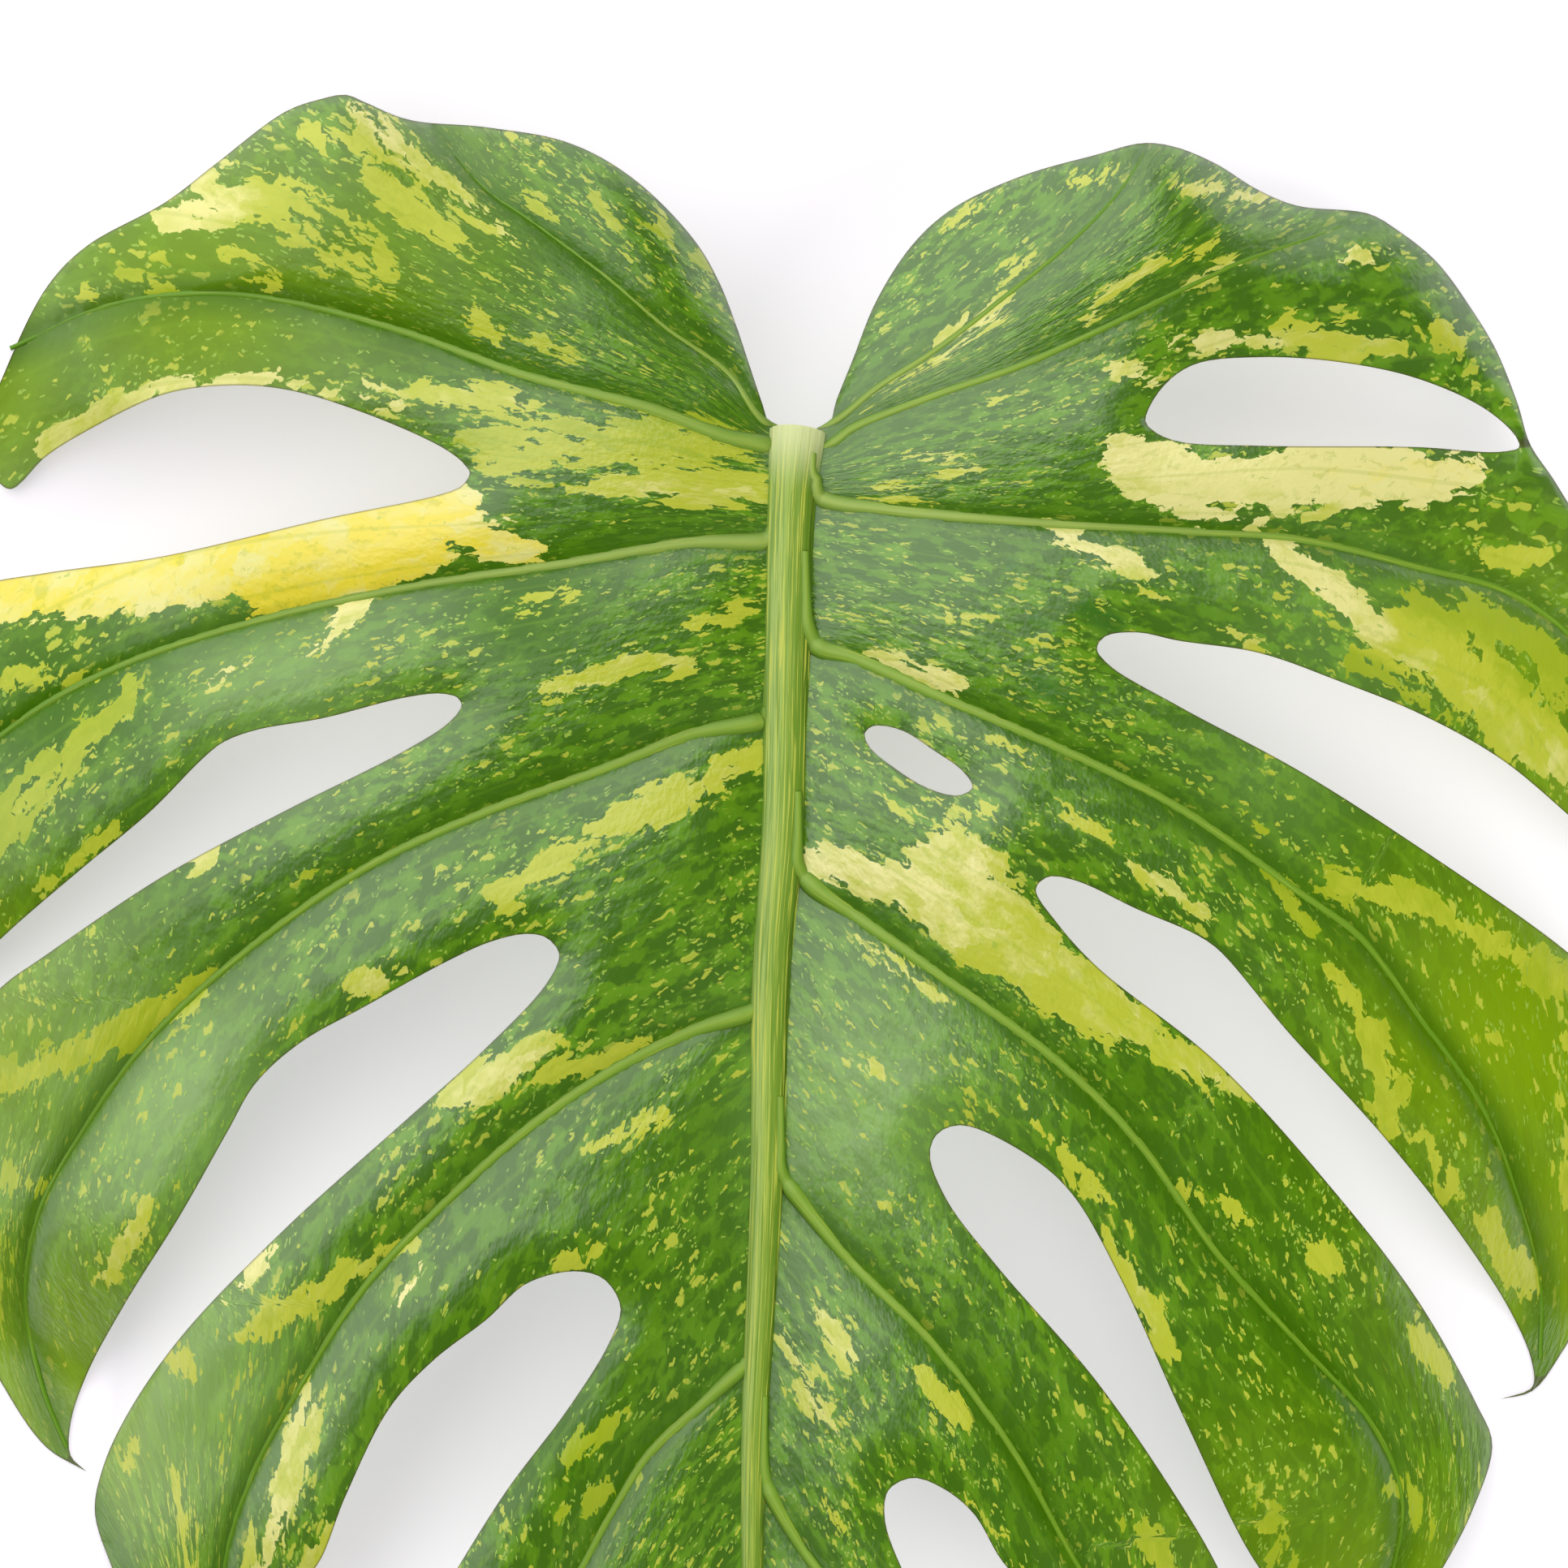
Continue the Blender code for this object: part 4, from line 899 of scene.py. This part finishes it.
def rib_sweep_tree(name):
    """Geometry nodes that sweep a round or grooved section along lines, as thick as their points say."""
    group = bpy.data.node_groups.new(name, "GeometryNodeTree")
    for label, kind in (
        ("Lines", "NodeSocketGeometry"), ("Sides", "NodeSocketInt"), ("Flatness", "NodeSocketFloat"),
        ("Grooves", "NodeSocketFloat"), ("Groove depth", "NodeSocketFloat"), ("Skin", "NodeSocketMaterial"),
    ):
        group.interface.new_socket(name=label, in_out="INPUT", socket_type=kind)
    group.interface.new_socket(name="Ribs", in_out="OUTPUT", socket_type="NodeSocketGeometry")
    given = add_node(group, "NodeGroupInput")
    lines = add_node(group, "GeometryNodeMeshToCurve", None, {"Mesh": given.outputs["Lines"]})
    upright = add_node(group, "GeometryNodeSetCurveNormal", {"mode": "Z_UP"}, {"Curve": lines.outputs[0]})
    half = add_node(group, "GeometryNodeInputNamedAttribute", {"data_type": "FLOAT"}, {"Name": "half"})
    circle = add_node(group, "GeometryNodeCurvePrimitiveCircle", None,
                      {"Resolution": given.outputs["Sides"], "Radius": 1.0})
    around = add_node(group, "GeometryNodeInputPosition").outputs[0]
    sideways = add_node(group, "ShaderNodeSeparateXYZ", None, {0: around})
    marked = add_node(group, "GeometryNodeStoreNamedAttribute", {"data_type": "FLOAT"},
                      {"Geometry": circle.outputs[0], "Name": "across", "Value": sideways.outputs[0]})
    round_share = add_node(group, "GeometryNodeSplineParameter").outputs["Factor"]
    ripple = round_share
    for operation, by, plus in (
        ("MULTIPLY", 2 * math.pi, 0.0), ("MULTIPLY", given.outputs["Grooves"], 0.0), ("SINE", 0.0, 0.0),
        ("MULTIPLY_ADD", given.outputs["Groove depth"], 1.0),
    ):
        ripple = add_node(group, "ShaderNodeMath", {"operation": operation}, {0: ripple, 1: by, 2: plus})
        ripple = ripple.outputs[0]
    rippled = add_node(group, "ShaderNodeVectorMath", {"operation": "SCALE"}, {0: around, "Scale": ripple})
    grooved = add_node(group, "GeometryNodeSetPosition", None,
                       {"Geometry": marked.outputs[0], "Position": rippled.outputs[0]})
    flattened = add_node(group, "ShaderNodeCombineXYZ", None, {0: 1.0, 1: given.outputs["Flatness"], 2: 1.0})
    section = add_node(group, "GeometryNodeTransform", None,
                       {"Geometry": grooved.outputs[0], "Scale": flattened.outputs[0]})
    swept = add_node(group, "GeometryNodeCurveToMesh", None,
                     {"Curve": upright.outputs[0], "Profile Curve": section.outputs[0],
                      "Scale": half.outputs[0], "Fill Caps": True})
    smooth = add_node(group, "GeometryNodeSetShadeSmooth", None, {"Geometry": swept.outputs[0]})
    real = add_node(group, "GeometryNodeRealizeInstances", None, {"Geometry": smooth.outputs[0]})
    finish = add_node(group, "GeometryNodeSetMaterial", None,
                      {"Geometry": real.outputs[0], "Material": given.outputs["Skin"]})
    made = add_node(group, "NodeGroupOutput")
    group.links.new(finish.outputs[0], made.inputs[0])
    return group


rib_sweep = rib_sweep_tree("rib sweep")


def swept_ribs(name, paths, skin, sides, flatness, grooves=0.0, groove_depth=0.0):
    """One mesh of ribs. Each path is (points with heights, half widths, share of the way out, paleness)."""
    points = np.vstack([path[0] for path in paths])
    edges = []
    along = []
    first = 0
    for path in paths:
        edges += [(first + i, first + i + 1) for i in range(len(path[0]) - 1)]
        along.append(np.concatenate([[0], np.cumsum(np.linalg.norm(np.diff(path[0], axis=0), axis=1))]))
        first += len(path[0])
    lines = new_object(name + "_lines", points, [], edges)
    store(lines, "half", np.concatenate([path[1] for path in paths]) * MM)
    store(lines, "out", np.concatenate([path[2] for path in paths]))
    store(lines, "pale", np.concatenate([np.full(len(path[0]), path[3]) for path in paths]))
    store(lines, "along", np.concatenate(along))
    modifier = lines.modifiers.new("sweep", "NODES")
    modifier.node_group = rib_sweep
    given = {
        "Sides": sides, "Flatness": flatness, "Grooves": grooves, "Groove depth": groove_depth,
        "Skin": skin,
    }
    for socket in rib_sweep.interface.items_tree:
        if socket.in_out == "INPUT" and socket.name in given:
            modifier[socket.identifier] = given[socket.name]
    bpy.context.view_layer.update()
    graph = bpy.context.evaluated_depsgraph_get()
    mesh = bpy.data.meshes.new_from_object(lines.evaluated_get(graph), depsgraph=graph)
    mesh.name = name
    ribs = bpy.data.objects.new(name, mesh)
    bpy.context.scene.collection.objects.link(ribs)
    bpy.data.objects.remove(lines, do_unlink=True)
    return ribs


def colours_across(tree, value, stops):
    """Colours that follow each other as a value goes from stop to stop."""
    colour = stops[0][1]
    for (start, _), (end, following) in zip(stops, stops[1:]):
        colour = laid_over(tree, colour, following, 1.0, value, (start, end), soft=False)
    return colour


def rib_skin(name):
    """A firm, waxy skin that lets a little light in: the material, its nodes and its shader."""
    skin = bpy.data.materials.new(name)
    skin.use_nodes = True
    shader = skin.node_tree.nodes["Principled BSDF"]
    shader.inputs["Roughness"].default_value = 0.40
    shader.inputs["Subsurface Weight"].default_value = 0.1
    shader.inputs["Subsurface Radius"].default_value = (0.8, 1.0, 0.4)
    shader.inputs["Subsurface Scale"].default_value = 0.002
    return skin, skin.node_tree, shader


# Midrib skin: firm, waxy and pale green, with yellowish bundles of fibres showing as fine lines; painted
# light and shade across it
STRIA_YELLOW = linear("#ccd252")
STRIA_GREEN = linear("#719628")
MIDRIB_END = linear("#dfe4a6")

midrib_skin, tree, shader = rib_skin("pale midrib skin")
across_at, along_at = (
    add_node(tree, "ShaderNodeAttribute", {"attribute_name": name}).outputs["Fac"]
    for name in ("across", "along")
)
# Painted light and shade across the midrib: a pale lit flank, and a darker flank with a line of painted shade
colour = colours_across(tree, across_at, (
    (1.0, linear("#7c9f3c")), (0.80, linear("#98b558")), (0.44, linear("#a8c05c")), (0.08, linear("#a0bb4a")),
    (-0.24, linear("#86a535")), (-0.60, linear("#6f9127")), (-0.84, linear("#466412")),
    (-1.0, linear("#5f8222")),
))
strand_at = add_node(tree, "ShaderNodeCombineXYZ", None, {0: across_at, 1: along_at}).outputs[0]
strands = cloud(tree, strand_at, length=1 / 12, breadth=34.0, detail=3.0)
bands = cloud(tree, strand_at, length=1 / 4, breadth=60.0, detail=1.0, offset=9.0)
colour = laid_over(tree, colour, STRIA_GREEN, 0.75, bands, (0.46, 0.36))
colour = laid_over(tree, colour, STRIA_GREEN, 0.6, strands, (0.46, 0.40))
colour = laid_over(tree, colour, STRIA_YELLOW, 0.8, strands, (0.56, 0.64))
colour = laid_over(tree, colour, MIDRIB_END, 0.8, along_at, (16.0, 0.0))
tree.links.new(colour, shader.inputs["Base Color"])
bump = add_node(tree, "ShaderNodeBump", None, {"Strength": 0.4, "Distance": 0.0004, "Height": strands})
tree.links.new(bump.outputs[0], shader.inputs["Normal"])

middle_points = spaced(midrib_path[midrib_path[:, 1] < -0.5], MIDRIB_STEP)[:-1]
middle_half = midrib_half(middle_points[:, 1])
middle_height = surface_height(middle_points) - MIDRIB_SUNK * middle_half
middle_height = np.maximum(middle_height, MIDRIB_FLATNESS * middle_half)
midrib = swept_ribs(
    "midrib",
    [(np.column_stack([middle_points, middle_height]), middle_half, np.zeros(len(middle_points)), 0.0)],
    midrib_skin, MIDRIB_SIDES, MIDRIB_FLATNESS, GROOVES, GROOVE_DEPTH,
)
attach(midrib, "root")
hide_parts("monstera_leaf")

# Side ribs
# The side ribs branch from the midrib and run out to the lobes' tips. Each leaves the midrib in a
# curve, is a pale ridge on the upper face and a stronger one below, and thins until it is lost.
RIB_HALF_ROOT = 2.4
RIB_HALF_TIP = 0.6
RIB_THINNING = 1.2
RIB_SUNK = 0.08
RIB_STEP = 1.6
RIB_SIDES = 16
RIB_SCALES = {
    -1: (0.45, 1.0, 1.0, 1.05, 1.05, 0.9, 0.8, 0.7),
    1: (0.45, 0.6, 0.9, 1.0, 1.0, 0.9, 0.8, 0.7),
}
PALENESS = (0.7, 0.5, 0.75, 0.35, 0.3, 0.3, 0.3, 0.3)
FILLET = 0.18
FILLET_REACH = 4.0

# The ribs above -10 mm spring from the joint itself. The others branch off the midrib: on the right
# after a long thin lead down its flank, on the left after a short one that is buried in it. A flank is
# the share of the midrib's half width at each point of the lead
BRANCHING_BELOW = -10
RIGHT_LEAD = 24.0
RIGHT_LEAD_BEND = 0.55
RIGHT_LEAD_END = 5.5
RIGHT_LEAD_THIN = 0.5
RIGHT_FLANKS = np.array([0.60, 0.70, 0.82])
RIGHT_START_MOVE = (1.6, 0.6)
RIGHT_SUNK = 0.75
LEFT_LEAD_UPS = np.array([5.0, 2.2])
LEFT_FLANKS = np.array([0.1, 0.65])
LEFT_SUNK = 1.4
JOINT_LEAD = (1.5, -3.5)
TOP_CLEAR = 6.0
SUNK_FROM = 0.6
SUNK_OVER = 0.7

# Side rib skin: waxy and green, paler on the crest near the midrib, with faint lighter fibres; painted shade
# darkens its flanks
side_skin, tree, shader = rib_skin("side rib skin")
across_at, along_at, out_at, pale_at = (
    add_node(tree, "ShaderNodeAttribute", {"attribute_name": name}).outputs["Fac"]
    for name in ("across", "along", "out", "pale")
)
off_crest = add_node(tree, "ShaderNodeMath", {"operation": "ABSOLUTE"}, {0: across_at}).outputs[0]
# Painted shade: the colour darkens from the crest to a dark line along each flank
crest = colours_across(tree, off_crest, (
    (0.0, linear("#7fa62a")), (0.5, linear("#6f9a20")), (0.8, linear("#547f12")), (0.95, linear("#3f680a")),
    (1.0, linear("#365c06")),
))
pale_crest = colours_across(tree, off_crest, ((0.0, linear("#a9bc62")), (1.0, linear("#6f9430"))))
colour = laid_over(tree, crest, pale_crest, pale_at, out_at, (0.75, 0.1))
colour = laid_over(tree, colour, linear("#588a12"), 0.7, out_at, (0.2, 1.0))
strand_at = add_node(tree, "ShaderNodeCombineXYZ", None, {0: across_at, 1: along_at}).outputs[0]
strand_place = add_node(tree, "ShaderNodeMapping", None, {"Vector": strand_at, "Scale": (5.0, 0.05, 1.0)})
strands = add_node(tree, "ShaderNodeTexNoise", None,
                   {"Vector": strand_place.outputs[0], "Scale": 1.0, "Detail": 3.0}).outputs["Fac"]
colour = laid_over(tree, colour, linear("#bfca48"), 0.4, strands, (0.55, 0.68))
tree.links.new(colour, shader.inputs["Base Color"])
shader.inputs["Specular IOR Level"].default_value = 0.35


def rib_path(rib, hand, paleness, scale):
    """A side rib's line on the blade, with its lead along the midrib's flank, half widths and paleness."""
    start_y = rib[0][1]
    branching = start_y < BRANCHING_BELOW
    if branching and hand > 0:
        way = min(RIGHT_LEAD, -start_y - TOP_CLEAR)
        ups = np.array([start_y + way, start_y + way * RIGHT_LEAD_BEND, start_y + RIGHT_LEAD_END])
        lead = tuple(zip(midrib_x(ups) + RIGHT_FLANKS * midrib_half(ups), ups))
        rib = ((rib[0][0] + RIGHT_START_MOVE[0], rib[0][1] + RIGHT_START_MOVE[1]),) + tuple(rib[1:])
    elif branching:
        ups = start_y + LEFT_LEAD_UPS
        lead = tuple(zip(midrib_x(ups) - LEFT_FLANKS * midrib_half(ups), ups))
    else:
        lead = ((hand * JOINT_LEAD[0], start_y + JOINT_LEAD[1]),)
    lead_length = np.linalg.norm(np.diff(np.array(lead + tuple(rib[:1]), float), axis=0), axis=1).sum()
    points = spaced(smooth_path(lead + tuple(rib)), RIB_STEP)
    gone = np.arange(len(points)) * np.linalg.norm(points[1] - points[0])
    share = np.clip((gone - lead_length) / (gone[-1] - lead_length), 0, 1)
    led = np.clip(gone / lead_length, 0, 1)
    half = RIB_HALF_ROOT * scale + (RIB_HALF_TIP - RIB_HALF_ROOT * scale) * share**RIB_THINNING
    half *= 1 if hand < 0 else RIGHT_LEAD_THIN + (1 - RIGHT_LEAD_THIN) * led**2
    half *= 1 + FILLET * np.exp(-np.abs(gone - lead_length) / FILLET_REACH)
    beside = np.abs(points[:, 0] - midrib_x(points[:, 1])) / midrib_half(points[:, 1])
    height = surface_height(points)
    if branching:
        flank_height = MIDRIB_FLATNESS * midrib_half(points[:, 1]) * np.sqrt(np.clip(1 - beside**2, 0, 1))
        height += np.where(beside < 1, flank_height, 0.0)
    buried = RIGHT_SUNK if hand > 0 else LEFT_SUNK
    sunk = buried + (RIB_SUNK - buried) * np.clip((beside - SUNK_FROM) / SUNK_OVER, 0, 1)
    height -= sunk * half
    return np.column_stack([points, np.maximum(height, half)]), half, share, paleness


rib_paths = []
for ribs, hand in ((LEFT_RIBS, -1), (RIGHT_RIBS, 1)):
    for rib, pale, scale in zip(ribs, PALENESS, RIB_SCALES[hand]):
        rib_paths.append(rib_path(rib, hand, pale, scale))
side_ribs = swept_ribs("side_ribs", rib_paths, side_skin, RIB_SIDES, 1.0)
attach(side_ribs, "root")
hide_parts("monstera_leaf")

# Stalk stub
# The stalk bends down behind the joint and was cut a few centimetres below it when the leaf was
# picked. It is round, firm and smooth, a little swollen at the knee, with a flat cut end.
STALK_CENTRE = (0.0, -7.6)
STALK_FOOT = (1.5, -15.0)
STALK_RADIUS = 5.8
KNEE_RADIUS = 6.6
STALK_TOP_SUNK = 1.0
STALK_GREEN = 0.3
STALK_STEPS = 26
STALK_SIDES = 48

t = np.linspace(0, 1, STALK_STEPS)
lean = t * t * (3 - 2 * t)
stalk_top = surface_height([STALK_CENTRE])[0] - STALK_TOP_SUNK
stalk_line = np.column_stack([
    STALK_CENTRE[0] + (STALK_FOOT[0] - STALK_CENTRE[0]) * lean,
    STALK_CENTRE[1] + (STALK_FOOT[1] - STALK_CENTRE[1]) * lean,
    stalk_top * (1 - t),
])
stalk_half = KNEE_RADIUS + (STALK_RADIUS - KNEE_RADIUS) * t
stalk_path = (stalk_line, stalk_half, STALK_GREEN + STALK_GREEN * t, 0.0)
stalk = swept_ribs("stalk_stub", [stalk_path], side_skin, STALK_SIDES, 1.0)
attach(stalk, "root")
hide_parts("monstera_leaf")

# Floor and light
# A plain white sheet that the leaf lies on, and two big soft lights: a round part of the sky towards
# the upper left, where the photograph's sheen comes from, and a weaker lamp at the lower right.
FLOOR_HALF = 3.0
FLOOR_DROP = 0.0003
floor_mesh = bpy.data.meshes.new("floor")
floor_corners = [(FLOOR_HALF * a, FLOOR_HALF * b, 0) for a, b in ((-1, -1), (1, -1), (1, 1), (-1, 1))]
floor_mesh.from_pydata(floor_corners, [], [(0, 1, 2, 3)])
floor = bpy.data.objects.new("floor", floor_mesh)
floor.location.z = -FLOOR_DROP
bpy.context.scene.collection.objects.link(floor)
# White paper: matt, and lit a little from within, so that it shows as white as the photograph's ground
white_sheet = bpy.data.materials.new("white paper sheet")
white_sheet.use_nodes = True
shader = white_sheet.node_tree.nodes["Principled BSDF"]
shader.inputs["Base Color"].default_value = linear("#e4e1e3")
shader.inputs["Roughness"].default_value = 0.9
shader.inputs["Emission Color"].default_value = (0.93, 0.87, 1.0, 1.0)
shader.inputs["Emission Strength"].default_value = 0.49
floor_mesh.materials.append(white_sheet)

# The lamp at the lower right lifts the shadows, and is kept out of the leaf's gloss
FILL_PLACE = Vector((1.2, -0.9, 1.2))
FILL_SIZE = 1.6
FILL_POWER = 20.0

fill = bpy.data.lights.new("fill_softbox", "AREA")
fill.shape = "DISK"
fill.size = FILL_SIZE
fill.energy = FILL_POWER
lamp = bpy.data.objects.new("fill_softbox", fill)
lamp.location = FILL_PLACE
lamp.visible_glossy = False
lamp.rotation_euler = (-FILL_PLACE).to_track_quat("-Z", "Y").to_euler()
bpy.context.scene.collection.objects.link(lamp)

# The key light fills a round part of the sky towards the upper left, down to the horizon
KEY_WAY = Vector((-1.0, 1.07, 0.91)).normalized()
KEY_INSIDE = math.cos(math.radians(45))
KEY_OUTSIDE = math.cos(math.radians(70))
KEY_STRENGTH = 1.6
SKY_STRENGTH = 0.07

# Its strength falls off softly from the inner angle to the outer one
world = bpy.data.worlds.new("studio")
world.use_nodes = True
tree = world.node_tree
way = add_node(tree, "ShaderNodeTexCoord").outputs["Generated"]
facing = add_node(tree, "ShaderNodeVectorMath", {"operation": "DOT_PRODUCT"}, {0: way, 1: tuple(KEY_WAY)})
strength = add_node(tree, "ShaderNodeMapRange", {"interpolation_type": "SMOOTHSTEP"}, {
    "Value": facing.outputs["Value"], "From Min": KEY_OUTSIDE, "From Max": KEY_INSIDE,
    "To Min": SKY_STRENGTH, "To Max": SKY_STRENGTH + KEY_STRENGTH,
})
tree.links.new(strength.outputs["Result"], tree.nodes["Background"].inputs["Strength"])
tree.nodes["Background"].inputs["Color"].default_value = (1.0, 1.0, 1.0, 1.0)
bpy.context.scene.world = world
bpy.context.scene.view_settings.view_transform = "Standard"
